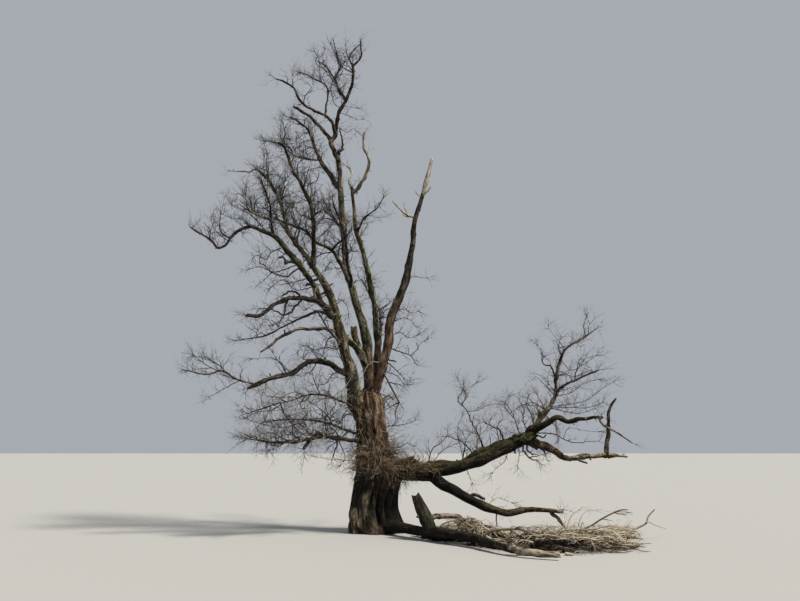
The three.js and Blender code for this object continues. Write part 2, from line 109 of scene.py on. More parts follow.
def add(material, kind, inputs=(), **settings):
    made = material.node_tree.nodes.new("ShaderNode" + kind)
    stops = settings.pop("stops", None)
    for key, value in settings.items():
        setattr(made, key, value)
    for socket, value in dict(inputs).items():
        if isinstance(value, bpy.types.NodeSocket):
            material.node_tree.links.new(value, made.inputs[socket])
        else:
            made.inputs[socket].default_value = value
    if stops:
        while len(made.color_ramp.elements) < len(stops):
            made.color_ramp.elements.new(1)
        for element, (place, shade) in zip(made.color_ramp.elements, stops):
            element.position = place
            element.color = linear(shade) if isinstance(shade, str) else (shade, shade, shade, 1)
    return made


def new_material(name):
    material = bpy.data.materials.new(name)
    material.use_nodes = True
    material.node_tree.nodes.clear()
    return material


lamp = bpy.data.objects.new("lamp", bpy.data.lights.new("lamp", "SUN"))
lamp.data.energy = 4.8
lamp.data.angle = math.radians(9)
lamp.data.color = (1.0, 0.96, 0.9)
lamp.rotation_euler = (math.radians(36), 0, math.radians(60))
scene.collection.objects.link(lamp)
scene.world = bpy.data.worlds.new("room")
scene.world.use_nodes = True
room = scene.world.node_tree.nodes["Background"]
room.inputs["Color"].default_value = linear("#e3e9f2")
room.inputs["Strength"].default_value = 0.5

floor_paint = new_material("floor_paint")
floor_shader = add(floor_paint, "BsdfPrincipled", {"Base Color": linear("#a5a39e"), "Roughness": 0.9})
add(floor_paint, "OutputMaterial", {"Surface": floor_shader.outputs[0]})
FLOOR_HALF = 300
corners = [(x * FLOOR_HALF, y * FLOOR_HALF, 0) for x, y in ((-1, -1), (1, -1), (1, 1), (-1, 1))]
floor_mesh = bpy.data.meshes.new("floor")
floor_mesh.from_pydata(corners, [], [(0, 1, 2, 3)])
floor_mesh.materials.append(floor_paint)
floor = bpy.data.objects.new("floor", floor_mesh)
scene.collection.objects.link(floor)

# The trunk: a short thick bole, flared at the foot and deeply fluted where the leaders have grown
# together. The bark is furrowed and dark, worn to pale wood low on the left, and hollowed at the foot.
TRUNK_RING_STEP = 0.03
TRUNK_SIDES = 168
FURROW = (0.045, 0.045, 0.3)
PLATE = (0.11, 0.11, 0.45)


def chance_at(cell, seed):
    mixed = (cell[..., 0] * 374761393 + cell[..., 1] * 668265263 + cell[..., 2] * 2246822519 + seed * 97471) & 0xffffffff
    mixed = ((mixed ^ (mixed >> 13)) * 1274126177) & 0xffffffff
    return ((mixed ^ (mixed >> 16)) & 0xffff) / 32767.5 - 1


def lumps(places, size, seed):
    scaled = places / np.asarray(size)
    cell = np.floor(scaled).astype(np.int64)
    part = scaled - cell
    part = part * part * (3 - 2 * part)
    total = 0
    for corner in np.ndindex(2, 2, 2):
        share = np.prod(np.where(corner, part, 1 - part), axis=-1)
        total = total + share * chance_at(cell + np.array(corner), seed)
    return total


def welded(name):
    mesh = frame["nodes"][name].data
    raw = np.empty(len(mesh.vertices) * 3)
    mesh.vertices.foreach_get("co", raw)
    places, which = np.unique(np.round(raw.reshape(-1, 3), 5), axis=0, return_inverse=True)
    which = which.ravel()
    touching = [set() for _ in places]
    for face in mesh.polygons:
        ring = [int(which[v]) for v in face.vertices]
        for a, b in zip(ring, ring[1:] + ring[:1]):
            touching[a].add(b)
            touching[b].add(a)
    return places, touching


def mesh_piece(name, places, quads, triangles, material, marks):
    mesh = bpy.data.meshes.new(name)
    places = np.maximum(places, (-np.inf, -np.inf, 0))
    corners = np.concatenate([np.ravel(quads), np.ravel(triangles)]).astype(np.int32)
    sizes = np.concatenate([np.full(len(quads), 4), np.full(len(triangles), 3)])
    starts = np.concatenate([[0], np.cumsum(sizes)[:-1]]).astype(np.int32)
    mesh.vertices.add(len(places))
    mesh.vertices.foreach_set("co", np.ravel(places).astype(np.float32))
    mesh.loops.add(len(corners))
    mesh.loops.foreach_set("vertex_index", corners)
    mesh.polygons.add(len(sizes))
    mesh.polygons.foreach_set("loop_start", starts)
    for mark, values in marks.items():
        kind = "FLOAT_VECTOR" if values.ndim == 2 else "FLOAT"
        field = "vector" if values.ndim == 2 else "value"
        mesh.attributes.new(mark, kind, "POINT").data.foreach_set(field, np.ravel(values).astype(np.float32))
    mesh.update(calc_edges=True)
    mesh.validate()
    mesh.shade_smooth()
    mesh.materials.append(material)
    piece = bpy.data.objects.new(name, mesh)
    scene.collection.objects.link(piece)
    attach(piece, "root")
    return piece


def skin_faces(rings, sides):
    ring, side = np.meshgrid(np.arange(rings - 1), np.arange(sides), indexing="ij")
    after = (side + 1) % sides
    quads = np.stack([ring * sides + side, ring * sides + after, (ring + 1) * sides + after,
                      (ring + 1) * sides + side], axis=-1).reshape(-1, 4)
    foot, tip = rings * sides, rings * sides + 1
    here = np.arange(sides)
    after = (here + 1) % sides
    last = (rings - 1) * sides
    triangles = np.concatenate([np.stack([np.full(sides, foot), after, here], axis=-1),
                                np.stack([np.full(sides, tip), last + here, last + after], axis=-1)])
    return quads, triangles


def bark_material(name, colours, moss, moss_share, lichen, lichen_share, red="#d9a98c", red_share=0.08,
                  grain=("#2b221a", "#7f7362", "#b4a996")):
    """Furrowed bark: dark in the cracks, dusty on the ridges, mossy above, bare wood where it is worn, with painted
    shade underneath and where its mark says, and a painted highlight on the side towards the lamp.
    """
    bark = new_material(name)
    at = add(bark, "Attribute", attribute_name="bark_at")
    worn_mark = add(bark, "Attribute", attribute_name="worn")
    painted_shade_mark = add(bark, "Attribute", attribute_name="painted_shade")
    rust_mark = add(bark, "Attribute", attribute_name="rusty")
    along = add(bark, "Mapping", {"Vector": at.outputs["Vector"], "Scale": (1, 1, 0.3)})
    furrow = add(bark, "TexNoise", {"Vector": along.outputs[0], "Scale": 24, "Detail": 6, "Roughness": 0.66,
                                    "Distortion": 0.6})
    plate = add(bark, "TexNoise", {"Vector": along.outputs[0], "Scale": 7, "Detail": 4, "Roughness": 0.55})
    height = add(bark, "Math", {0: furrow.outputs["Fac"], 1: plate.outputs["Fac"]}, operation="ADD")
    level = add(bark, "MapRange", {"Value": height.outputs[0], "From Min": 0.78, "From Max": 1.22})
    tone = add(bark, "ValToRGB", {"Fac": level.outputs[0]}, stops=list(zip((0.2, 0.5, 0.85), colours)))
    drift = add(bark, "TexNoise", {"Vector": at.outputs["Vector"], "Scale": 1.1, "Detail": 5, "Roughness": 0.6})
    redness = add(bark, "MapRange", {"Value": drift.outputs["Fac"], "From Min": 0.6 - red_share,
                                     "From Max": 0.78 - red_share})
    reddened = add(bark, "Mix", {0: redness.outputs[0], 6: tone.outputs[0], 7: linear(red)},
                   data_type="RGBA", blend_type="MULTIPLY")
    facing = add(bark, "NewGeometry")
    up = add(bark, "SeparateXYZ", {0: facing.outputs["Normal"]})
    patch = add(bark, "TexNoise", {"Vector": at.outputs["Vector"], "Scale": 7, "Detail": 7, "Roughness": 0.75})
    damp = add(bark, "Math", {0: up.outputs["Z"], 1: 0.2, 2: patch.outputs["Fac"]}, operation="MULTIPLY_ADD")
    moss_here = add(bark, "MapRange", {"Value": damp.outputs[0], "From Min": 0.68 - moss_share,
                                       "From Max": 0.84 - moss_share, "To Max": 0.8})
    mossed = add(bark, "Mix", {0: moss_here.outputs[0], 6: reddened.outputs[2], 7: linear(moss)}, data_type="RGBA")
    dot = add(bark, "TexNoise", {"Vector": at.outputs["Vector"], "Scale": 13, "Detail": 4, "Roughness": 0.6})
    lichen_here = add(bark, "MapRange", {"Value": dot.outputs["Fac"], "From Min": 0.69 - lichen_share,
                                         "From Max": 0.75 - lichen_share, "To Max": 0.75})
    spotted = add(bark, "Mix", {0: lichen_here.outputs[0], 6: mossed.outputs[2], 7: linear(lichen)},
                  data_type="RGBA")
    wood = add(bark, "ValToRGB", {"Fac": level.outputs[0]}, stops=list(zip((0.1, 0.45, 0.85), grain)))
    wear = add(bark, "Math", {0: worn_mark.outputs["Fac"], 1: 1.0, 2: patch.outputs["Fac"]},
               operation="MULTIPLY_ADD")
    bare = add(bark, "MapRange", {"Value": wear.outputs[0], "From Min": 0.86, "From Max": 1.02})
    stripped = add(bark, "Mix", {0: bare.outputs[0], 6: spotted.outputs[2], 7: wood.outputs[0]},
                   data_type="RGBA")
    # painted shade: faces that look downwards are darkened, as in the shade under a limb
    under = add(bark, "MapRange", {"Value": up.outputs["Z"], "From Min": -0.75, "From Max": 0.35, "To Min": 0.85,
                                   "To Max": 0.0})
    rust = add(bark, "ValToRGB", {"Fac": level.outputs[0]},
               stops=[(0.1, "#33231a"), (0.5, "#755c49"), (0.9, "#a08a75")])
    rusted = add(bark, "Mix", {0: rust_mark.outputs["Fac"], 6: stripped.outputs[2], 7: rust.outputs[0]},
                 data_type="RGBA")
    # painted highlight: faces that look to the right, towards the lamp, are lightened
    painted_light_side = add(bark, "MapRange", {"Value": up.outputs["X"], "From Min": -0.1, "From Max": 0.75, "To Max": 0.36})
    lamp_side_lightened = add(bark, "Mix", {0: painted_light_side.outputs[0], 6: rusted.outputs[2], 7: linear("#fbf3df")}, data_type="RGBA",
                  blend_type="DODGE")
    underside_shaded = add(bark, "Mix", {0: under.outputs[0], 6: lamp_side_lightened.outputs[2], 7: linear("#6a6052")}, data_type="RGBA",
                 blend_type="MULTIPLY")
    # painted shade: the bark is darkened towards near black as far as its mark says
    darkened = add(bark, "Mix", {0: painted_shade_mark.outputs["Fac"], 6: underside_shaded.outputs[2], 7: linear("#0c0a07")},
                   data_type="RGBA")
    bump = add(bark, "Bump", {"Height": height.outputs[0], "Strength": 1.0, "Distance": 0.04})
    shader = add(bark, "BsdfPrincipled", {"Base Color": darkened.outputs[2], "Roughness": 0.92,
                                          "Specular IOR Level": 0.2, "Normal": bump.outputs[0]})
    add(bark, "OutputMaterial", {"Surface": shader.outputs[0]})
    return bark


old_bark = bark_material("furrowed_bark", ("#0f0c08", "#38312a", "#72695e"), "#4e4e36", 0.03, "#8f907c", 0.02,
                         grain=("#1d160e", "#5d5140", "#978a72"))

bole_bark = bark_material("bole_bark", ("#0d0a06", "#43382a", "#7f7263"), "#4e4e36", 0.03, "#8f907c", 0.02,
                          grain=("#1d160e", "#5d5140", "#978a72"))

places, touching = welded("trunk")
levels = np.unique(np.round(places[:, 2], 3))
levels = [z for z in levels if np.sum(np.abs(places[:, 2] - z) < 0.002) > 6]
angles = np.linspace(0, 2 * np.pi, TRUNK_SIDES, endpoint=False)
trunk_line, trunk_reach = [], []
for z in levels:
    ring = places[np.abs(places[:, 2] - z) < 0.002]
    ring = ring[np.hypot(ring[:, 0], ring[:, 1]) > 0.05]
    middle = np.array([(ring[:, 0].min() + ring[:, 0].max()) / 2, (ring[:, 1].min() + ring[:, 1].max()) / 2, z])
    turn = np.arctan2(ring[:, 1] - middle[1], ring[:, 0] - middle[0]) % (2 * np.pi)
    order = np.argsort(turn)
    reach = np.hypot(ring[:, 0] - middle[0], ring[:, 1] - middle[1])
    trunk_line.append(middle)
    trunk_reach.append(np.interp(angles, turn[order], reach[order], period=2 * np.pi))
trunk_line, trunk_reach = np.array(trunk_line), np.array(trunk_reach)

rise = np.arange(0, trunk_line[-1, 2] + 0.001, TRUNK_RING_STEP)
middles = np.stack([np.interp(rise, trunk_line[:, 2], trunk_line[:, i]) for i in (0, 1, 2)], axis=-1)
reach = np.stack([np.interp(rise, trunk_line[:, 2], trunk_reach[:, i]) for i in range(TRUNK_SIDES)], axis=-1)
for _ in range(6):
    reach = (np.roll(reach, 1, 1) + 2 * reach + np.roll(reach, -1, 1)) / 4
    reach[1:-1] = (reach[:-2] + 2 * reach[1:-1] + reach[2:]) / 4
    middles[1:-1] = (middles[:-2] + 2 * middles[1:-1] + middles[2:]) / 4
turn, high = np.meshgrid(angles, rise)
bark_at = np.stack([0.7 * np.cos(turn), 0.7 * np.sin(turn), high], axis=-1)
flutes = np.abs(lumps(bark_at, (0.24, 0.24, 1.6), 3)) ** 0.7
relief = 0.10 * (flutes - 0.55) + 0.025 * lumps(bark_at, PLATE, 4) + 0.014 * lumps(bark_at, FURROW, 5)
# The leaders have grown together down to half the bole's height, with a deep groove between each two.
GROOVES = [(-112, 0.16, 8), (-68, 0.15, 7), (-28, 0.12, 8), (35, 0.16, 9), (90, 0.16, 9), (150, 0.16, 9), (205, 0.1, 8)]
GROOVE_FOOT, GROOVE_HEAD = 2.4, 4.6
for facing, depth, breadth in GROOVES:
    off = (np.degrees(turn) - facing + 180 + 16 * lumps(bark_at, (3, 3, 0.9), 9)) % 360 - 180
    grown = np.clip((high - GROOVE_FOOT) / (GROOVE_HEAD - GROOVE_FOOT), 0, 1)
    relief -= depth * grown * np.exp(-(off / breadth) ** 2)
relief += 0.07 * np.clip(lumps(bark_at, (0.22, 0.22, 0.3), 12) - 0.15, 0, 1)
# the hollows at the foot, each also painted dark inside as shade: which way each faces, its middle height, its half
# height, half breadth, depth
HOLLOWS = [(-80, 0.75, 0.85, 9, 0.30), (-52, 0.8, 0.95, 9, 0.26), (-104, 1.2, 0.55, 6, 0.12), (-25, 0.7, 0.6, 8, 0.2),
           (60, 0.7, 0.8, 9, 0.24), (120, 0.6, 0.6, 9, 0.2), (190, 0.9, 0.7, 8, 0.15)]
painted_shade = np.zeros_like(reach)
for facing, height, half, breadth, depth in HOLLOWS:
    off = (np.degrees(turn) - facing + 180 + 14 * lumps(bark_at, (3, 3, 0.5), 6)) % 360 - 180
    shape = np.exp(-(off / breadth) ** 2) * np.clip(1 - ((high - height) / half) ** 2, 0, 1)
    painted_shade = np.maximum(painted_shade, shape)
    relief -= depth * shape


def sector(facing, breadth):
    """1 on the side of the bole that faces this way, falling off to 0 round it."""
    return np.exp(-(((np.degrees(turn) - facing + 180) % 360 - 180) / breadth) ** 2)


# Low on the left front the bark has gone, and the bare wood is split by upright cracks painted dark
# as shade. The rest of the foot is painted nearly black, as the shade below the skirt of shoots. A strip
# of reddish wood shows on the right below the fork.
mottle = np.clip(0.75 + 0.9 * lumps(bark_at, (0.16, 0.16, 0.3), 10), 0, 1)
bare_face = mottle * np.clip(1.35 * np.where(high < 0.85, sector(-124, 42), sector(-108, 24)), 0, 1)
bare_face = bare_face * np.clip((1.5 - high) / 0.3, 0, 1)
splits = np.clip((-0.02 - lumps(bark_at, (0.085, 0.085, 0.8), 8)) / 0.3, 0, 1) * bare_face
relief -= 0.05 * splits
# painted shade: the foot below the skirt of shoots, the hollows and the cracks are darkened towards near black
painted_skirt_shadow = np.clip((2.15 - high) / 0.35, 0, 1) * (1 - bare_face) * 0.96
painted_shade = np.clip(np.maximum(np.maximum(painted_shade * 1.3, 1.1 * splits), painted_skirt_shadow), 0, 0.94)
worn = 0.7 * bare_face
rusty = np.clip(0.9 * sector(-105, 45) * np.clip((0.35 - high) / 0.2, 0, 1)
                + 0.9 * sector(-40, 24) * np.clip((high - 2.6) / 0.5, 0, 1), 0, 1)
reach = reach + relief
around = np.stack([middles[:, None, 0] + reach * np.cos(turn), middles[:, None, 1] + reach * np.sin(turn), high], axis=-1)
quads, triangles = skin_faces(len(rise), TRUNK_SIDES)
ends = np.array([[0, 0, 0], trunk_line[-1] + (0, 0, 0.1)])
trunk_marks = {"bark_at": np.concatenate([bark_at.reshape(-1, 3), ends]),
               "painted_shade": np.concatenate([painted_shade.ravel(), [0, 0]]), "worn": np.concatenate([worn.ravel(), [0, 0]]),
               "rusty": np.concatenate([rusty.ravel(), [0, 0]])}
trunk = mesh_piece("trunk_bark", np.concatenate([around.reshape(-1, 3), ends]), quads, triangles, bole_bark, trunk_marks)
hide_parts("trunk")

# The limbs: four leaders, the boughs they carry, the low limb and the fallen one. Each grows out of
# its carrier in a swollen collar, tapers, and is knotted and crooked, with bark that runs along it.
RING_ON_SKIN = 0.038
FEWEST_SIDES = 9
COLLAR_SWELL = 0.4
KNOB_SPACING = 0.34


def read_limb(name):
    """The limb's middle line and radii, from where it leaves its carrier to its tip."""
    places, touching = welded(name)
    best = []
    for apex in range(len(places)):
        sides = len(touching[apex])
        if sides not in (5, 7, 10):
            continue
        seen, level, rings = {apex}, {apex}, []
        while True:
            level = set().union(*(touching[v] for v in level)) - seen
            if len(level) != sides:
                break
            rings.append(sorted(level))
            seen |= level
        if len(rings) > len(best):
            best, tip, used = rings, apex, seen
    middles = [places[ring].mean(axis=0) for ring in best]
    radii = [np.linalg.norm(places[ring] - middle, axis=1).mean() for ring, middle in zip(best, middles)]
    rest = [v for v in range(len(places)) if v not in used]
    foot = places[rest].mean(axis=0)
    line = np.array([foot] + middles[::-1] + [places[tip]])
    return line, np.array([radii[-1]] + radii[::-1] + [radii[0] * 0.5])


def read_fused_limb(name, stations, radius):
    """A limb grown together with another along its length: its line follows its upper side."""
    places, _ = welded(name)
    line = []
    for x in np.linspace(places[:, 0].min() + radius, places[:, 0].max() - 0.05, stations):
        near = places[np.argsort(np.abs(places[:, 0] - x))[:12]]
        line.append([x, (near[:, 1].min() + near[:, 1].max()) / 2, near[:, 2].max() - radius])
    return np.array(line), np.full(stations, radius)


def smooth(line, radii, step):
    """A curve through the places, as evenly spaced points with their radii."""
    padded = np.concatenate([[2 * line[0] - line[1]], line, [2 * line[-1] - line[-2]]])
    part = np.linspace(0, 1, 12, endpoint=False)[:, None]
    dense, wide = [], []
    for i in range(len(line) - 1):
        a, b, c, d = padded[i:i + 4]
        dense.append(0.5 * (2 * b + (c - a) * part + (2 * a - 5 * b + 4 * c - d) * part ** 2
                            + (3 * b - a - 3 * c + d) * part ** 3))
        wide.append(radii[i] + (radii[i + 1] - radii[i]) * part[:, 0])
    dense = np.concatenate(dense + [line[-1:]])
    wide = np.concatenate(wide + [radii[-1:]])
    run = np.concatenate([[0], np.cumsum(np.linalg.norm(np.diff(dense, axis=0), axis=1))])
    stations = np.linspace(0, run[-1], max(3, int(round(run[-1] / step)) + 1))
    return np.stack([np.interp(stations, run, dense[:, i]) for i in range(3)], axis=-1), np.interp(stations, run, wide), stations


def carried_frames(line):
    heading = np.gradient(line, axis=0)
    heading /= np.linalg.norm(heading, axis=1, keepdims=True)
    side = np.cross(heading[0], (0.3, -0.2, 0.93) if abs(heading[0][2]) < 0.8 else (1, 0.2, 0))
    sides = []
    for way in heading:
        side = side - way * np.dot(side, way)
        side = side / np.linalg.norm(side)
        sides.append(side)
    sides = np.array(sides)
    return heading, sides, np.cross(heading, sides)


# a slab, a rotten log and the tall leaders are straighter and smoother than the side boughs
CALM = {"torn_slab": 0.1, "fallen_limb": 0.35, "drooping_broken_limb": 0.7, "left_leader": 0.5, "middle_leader": 0.4,
        "back_leader": 0.5, "right_leader": 0.55}
# how much thicker the bark makes a bough than its solid: at its foot, a third of the way up where that
# is given, near its tip and at its tip
SHARE_PLACES = {3: (0, 0.85, 1), 4: (0, 0.35, 0.85, 1)}
BARK_SHARE = {
    "left_leader": (1.15, 0.8, 0.74, 0.85), "drooping_broken_limb": (1.05, 0.95, 0.72, 0.8), "middle_leader": (0.95, 0.9, 0.9), "back_leader": (0.88, 1.0, 1.0),
    "right_leader": (0.92, 1.08, 1.02, 0.6), "knobbly_bough": (1.2, 1.3, 1.3), "dead_left_bough": (1.2, 1.2, 1.2),
    "high_left_bough": (1.2, 1.2, 1.2), "long_left_bough": (1.1, 1.1, 1.1), "forward_right_bough": (1.5, 1.1, 1.0),
    "rear_right_bough": (1.25, 1.3, 1.3), "upright_snag": (1.2, 1.3, 1.2), "upswept_tip": (1.15, 1.1, 1.0),
    "arching_bough": (1.1, 1.1, 1.1), "broken_spar": (1.2, 1.4, 1.3), "back_leader_hook": (1.1, 1.3, 1.2),
    "flat_low_bough": (0.7, 0.6, 0.6), "rear_left_low_bough": (0.8, 0.7, 0.7), "drooping_low_bough": (1.1, 0.8, 0.7),
}
# how far painted shade darkens a limb towards near black: at its foot, halfway, near its tip and at its tip
PAINTED_SHADE_ENDS = {
    "right_leader": (0, 0.55, 0.4, 0), "middle_leader": (0.6, 0, 0, 0), "back_leader": (0.5, 0, 0, 0),
    "knobbly_bough": (0.2, 0.5, 0.5, 0.4), "dead_left_bough": (0, 0.3, 0.4, 0.4),
    "upright_snag": (0.3, 0.3, 0.3, 0.2), "drooping_low_bough": (0.6, 0.6, 0.5, 0.3), "twiggy_bough": (0.3, 0.3, 0.3, 0.2),
    "arching_bough": (0.3, 0.2, 0.2, 0.3), "drooping_broken_limb": (1.0, 0.95, 0.1, 0), "torn_slab": (0.5, 0.3, 0.3, 0.2),
    "low_right_limb": (0.2, 0.35, 0.3, 0.3), "fallen_limb": (0.75, 0.6, 0.1, 0), "broken_spar": (0.3, 0.5, 0.5, 0.3),
    "upper_leader": (0.1, 0.4, 0.5, 0.5), "back_leader_branch": (0.4, 0.4, 0.4, 0.4),
    "rear_right_bough": (0.5, 0.35, 0, 0), "forward_right_bough": (0.4, 0.4, 0.3, 0.3),
}
CROWN_LIMBS = ("crown_tip_right", "crown_tip_left", "crown_back_branch", "crown_spray", "crown_left_bough",
               "crown_inner_branch", "high_left_bough", "high_left_branch", "inner_left_bough", "long_left_bough",
               "rising_left_branch", "crossing_bough", "crossing_branch", "fanned_left_bough")
# how rusty brown a leader's foot is, like the bole below it, and the share of it over which that fades
RUSTY_FEET = {"right_leader": (0.8, 0.45), "middle_leader": (0.9, 0.2), "back_leader": (0.9, 0.25),
              "left_leader": (0.6, 0.14)}
PAINTED_SHADE_ENDS.update({name: (0.3, 0.4, 0.45, 0.45) for name in CROWN_LIMBS})


def limb_skin(name, line, radii, seed, material, worn=(0, 0, 0.6), broken=False):
    """The bark of one limb: a crooked, uneven tube with a collar at its foot and knots along it."""
    thick = float(radii.max())
    bends = CALM.get(name, 1)
    line, radii, run = smooth(line, radii, max(RING_ON_SKIN * 0.6, min(RING_ON_SKIN, thick * 0.45)))
    stretch = np.stack([run, run * 0 + seed, run * 0], axis=-1)
    heading, side, over = carried_frames(line)
    free = np.clip(run / (4 * thick), 0, 1)[:, None]
    for wave, share, key in ((5 * thick + 0.25, 0.45, 11), (1.6 * thick + 0.12, 0.2, 31)):
        sway = bends * free * (radii[:, None] + 0.02) * share
        line = line + sway * (side * lumps(stretch, (wave, 1, 1), key)[:, None]
                              + over * lumps(stretch, (wave, 1, 1), key + 1)[:, None])
    heading, side, over = carried_frames(line)
    sides = int(max(FEWEST_SIDES, min(64, 2 * math.pi * thick / RING_ON_SKIN)))
    turn = np.linspace(0, 2 * np.pi, sides, endpoint=False)
    wide = radii * (1 + COLLAR_SWELL * np.exp(-run / (1.6 * thick)))
    wide = wide * (0.92 + 0.14 * np.clip(lumps(stretch, (2.6 * thick, 1, 1), 13), -0.5, 1))
    if not broken:
        wide = wide * np.sqrt(np.clip((run[-1] + 0.01 - run) / (1.5 * radii[-1] + 0.02), 0, 1))
    local = np.stack([np.outer(wide, np.cos(turn)), np.outer(wide, np.sin(turn)), np.repeat(run[:, None], sides, 1)],
                     axis=-1) + (seed * 3.7 % 50, seed * 1.3 % 50, 0)
    coarse = max(0.07, thick * 0.7)
    relief = (bends * wide[:, None] * 0.17 * lumps(local, (coarse, coarse, 2.2 * coarse), seed)
              + min(0.02, thick * 0.13) * lumps(local, PLATE, seed + 1)
              + min(0.012, thick * 0.09) * lumps(local, FURROW, seed + 2))
    chance = random.Random(name)
    at = chance.uniform(0.1, 0.5)
    while at < run[-1] - thick:
        size = float(np.interp(at, run, radii))
        facing = chance.uniform(0, 2 * math.pi)
        across = (turn - facing + np.pi) % (2 * np.pi) - np.pi
        knob = np.exp(-((run - at) / (size * chance.uniform(0.4, 0.9))) ** 2)[:, None]
        relief += bends * min(size, 0.11) * chance.uniform(0.15, 0.6) * knob * np.exp(-(across / chance.uniform(0.4, 0.8)) ** 2)
        at += (KNOB_SPACING + 1.2 * size) * chance.uniform(0.3, 1.7)
    reach = wide[:, None] + relief
    skin = (line[:, None] + reach[..., None] * (np.cos(turn)[None, :, None] * side[:, None]
                                               + np.sin(turn)[None, :, None] * over[:, None]))
    if broken:
        torn = lumps(np.stack([3 * np.cos(turn), 3 * np.sin(turn), turn * 0 + seed], axis=-1), (1.1, 1.1, 1.1), 21)
        tear = np.array([0.3, 0.7, 1])[:, None, None] * torn[None, :, None]
        skin[-3:] += (heading[-1] * radii[-1] * 1.6)[None, None] * tear
    quads, triangles = skin_faces(len(line), sides)
    skin = np.concatenate([skin.reshape(-1, 3), [line[0], line[-1]]])
    bare = np.interp(run / run[-1], [0, worn[2], 1], [worn[0], worn[0], worn[1]])
    rustiest, fades_at = RUSTY_FEET.get(name, (0, 1))
    rust = np.interp(run / run[-1], [0, 0.6 * fades_at, fades_at], [rustiest, 0.8 * rustiest, 0])
    marks = {"bark_at": np.concatenate([local.reshape(-1, 3), [[0, 0, 0], [0, 0, run[-1]]]]),
             "worn": np.concatenate([np.repeat(bare, sides), bare[[0, -1]]]),
             "rusty": np.concatenate([np.repeat(rust, sides), rust[[0, -1]]])}
    # painted shade: the limb's bark is darkened along it as the table above says
    if name in PAINTED_SHADE_ENDS:
        dark = np.interp(run / run[-1], [0.05, 0.5, 0.85, 1], PAINTED_SHADE_ENDS[name])
        marks["painted_shade"] = np.concatenate([np.repeat(dark, sides), dark[[0, -1]]])
    return mesh_piece(name + "_bark", skin, quads, triangles, material, marks), line, radii


# how much lower the middle of a limb lies than its solid's, in metres
SAG = {"fallen_branch": 0.15}
# how far the wood of a limb runs back along its carrier, where that is more than usual
RUNS_BACK = {"drooping_broken_limb": 1.0}


def to_carrier(foot, width, back_reach):
    """The place inside the carrier from which a limb grows, and the carrier's name."""
    best = None
    for name, (line, radii) in limbs.items():
        gap = np.linalg.norm(line - foot, axis=1) - radii
        nearest = int(gap.argmin())
        if radii[nearest] >= 0.8 * width and (best is None or gap[nearest] < best[0]):
            best = (gap[nearest], name, nearest)
    _, name, nearest = best
    line, radii = limbs[name]
    back = np.linalg.norm(line - line[nearest], axis=1)
    below = [i for i in range(nearest + 1) if back[i] <= 0.5 * width + 0.1 * radii[nearest] + back_reach]
    return line[below[0]], name


mossy_bark = bark_material("mossy_bark", ("#100e09", "#3f3c2c", "#7d7966"), "#5d5c36", 0.13, "#9b9a83", 0.07)
# painted shade: the low limb's bark is made much darker than the other mossy bark, for the shade it lies in
shaded_low_limb_bark = bark_material("shaded_low_limb_bark", ("#070502", "#1a150d", "#4f4434"), "#4a4a24", 0.13, "#918a4e", 0.06)
lichened_bark = bark_material("lichened_bark", ("#0b0805", "#2c2418", "#7c6c55"), "#6b6030", 0.08, "#b88c3c", 0.115)
leader_bark = bark_material("leader_bark", ("#0f0c08", "#38312a", "#776d61"), "#4e4e36", 0.03, "#8f907c", 0.03,
                            grain=("#4a4238", "#a89c8b", "#d9d1c5"))
weathered_wood = bark_material("weathered_wood", ("#120e09", "#443b31", "#8f8576"), "#605c3e", 0.0, "#8f907c", 0.02)
rotten_bark = bark_material("rotten_bark", ("#090704", "#1f180f", "#554735"), "#2f3018", 0.06, "#6a6248", 0.0,
                            grain=("#40362a", "#938672", "#c9bea9"))
mossy_wood = bark_material("mossy_wood", ("#0a0906", "#211e15", "#4c4735"), "#30331a", 0.1, "#6a6248", 0.0)
LIMB_BARK = {"bark": old_bark, "mossy_bark": mossy_bark, "bare_wood": weathered_wood, "low_right_limb": shaded_low_limb_bark,
             "low_right_ridge": shaded_low_limb_bark, "drooping_broken_limb": lichened_bark,
             "drooping_broken_end": lichened_bark, "rear_right_bough": lichened_bark, "fallen_limb": rotten_bark,
             "torn_slab": mossy_wood, "forward_right_bough": shaded_low_limb_bark, "left_leader": mossy_bark, "right_leader": leader_bark,
             "hanging_right_branch": mossy_bark}

# the torn slab's half width from its foot to its flat top, against that of its solid
SLAB_WIDTHS = (0.8, 1.05, 0.92, 0.62)
slots = {entry["node"]: entry["material_slot"] for entry in frame["record"]["subparts"]}
limbs = {"trunk": (middles, np.full(len(middles), 0.6))}
carriers = {}
BROKEN_ENDS = {"broken_spar", "right_leader", "dead_left_bough", "knobbly_bough", "torn_slab", "upswept_side_branch",
               "upright_snag", "back_leader_spar", "back_leader_hook", "forward_right_bough", "drooping_broken_limb",
               "fallen_limb", "fallen_branch"}
# how far the bark has gone from each dead limb: below, at its tip, and where the change starts
WORN = {
    "right_leader": (0.25, 3.0, 0.83), "drooping_broken_limb": (0.0, 0.5, 0.74), "back_leader_hook": (0.5, 0.9, 0.5), "back_leader_spar": (0.45, 0.8, 0.5),
    "broken_spar": (0.2, 0.4, 0.6), "bleached_left_spar": (0.5, 0.8, 0.6), "outer_left_branch": (0.35, 0.4, 0.6),
    "dead_left_bough": (0.3, 0.0, 0.4), "rear_right_bough": (0.3, 0.45, 0.3), "upright_snag": (0.25, 0.2, 0.5),
    "upswept_side_branch": (0.42, 0.3, 0.4), "weeping_tip": (0.3, 0.3, 0.6), "fallen_limb": (0.0, 0.9, 0.7),
    "fallen_branch": (0.4, 0.5, 0.5), "right_leader_stub": (0.5, 0.6, 0.5), "upswept_bough": (0.6, 0.05, 0.5),
    "long_left_hook": (0.0, 0.35, 0.6), "back_leader": (0.12, 0.1, 0.6),
}
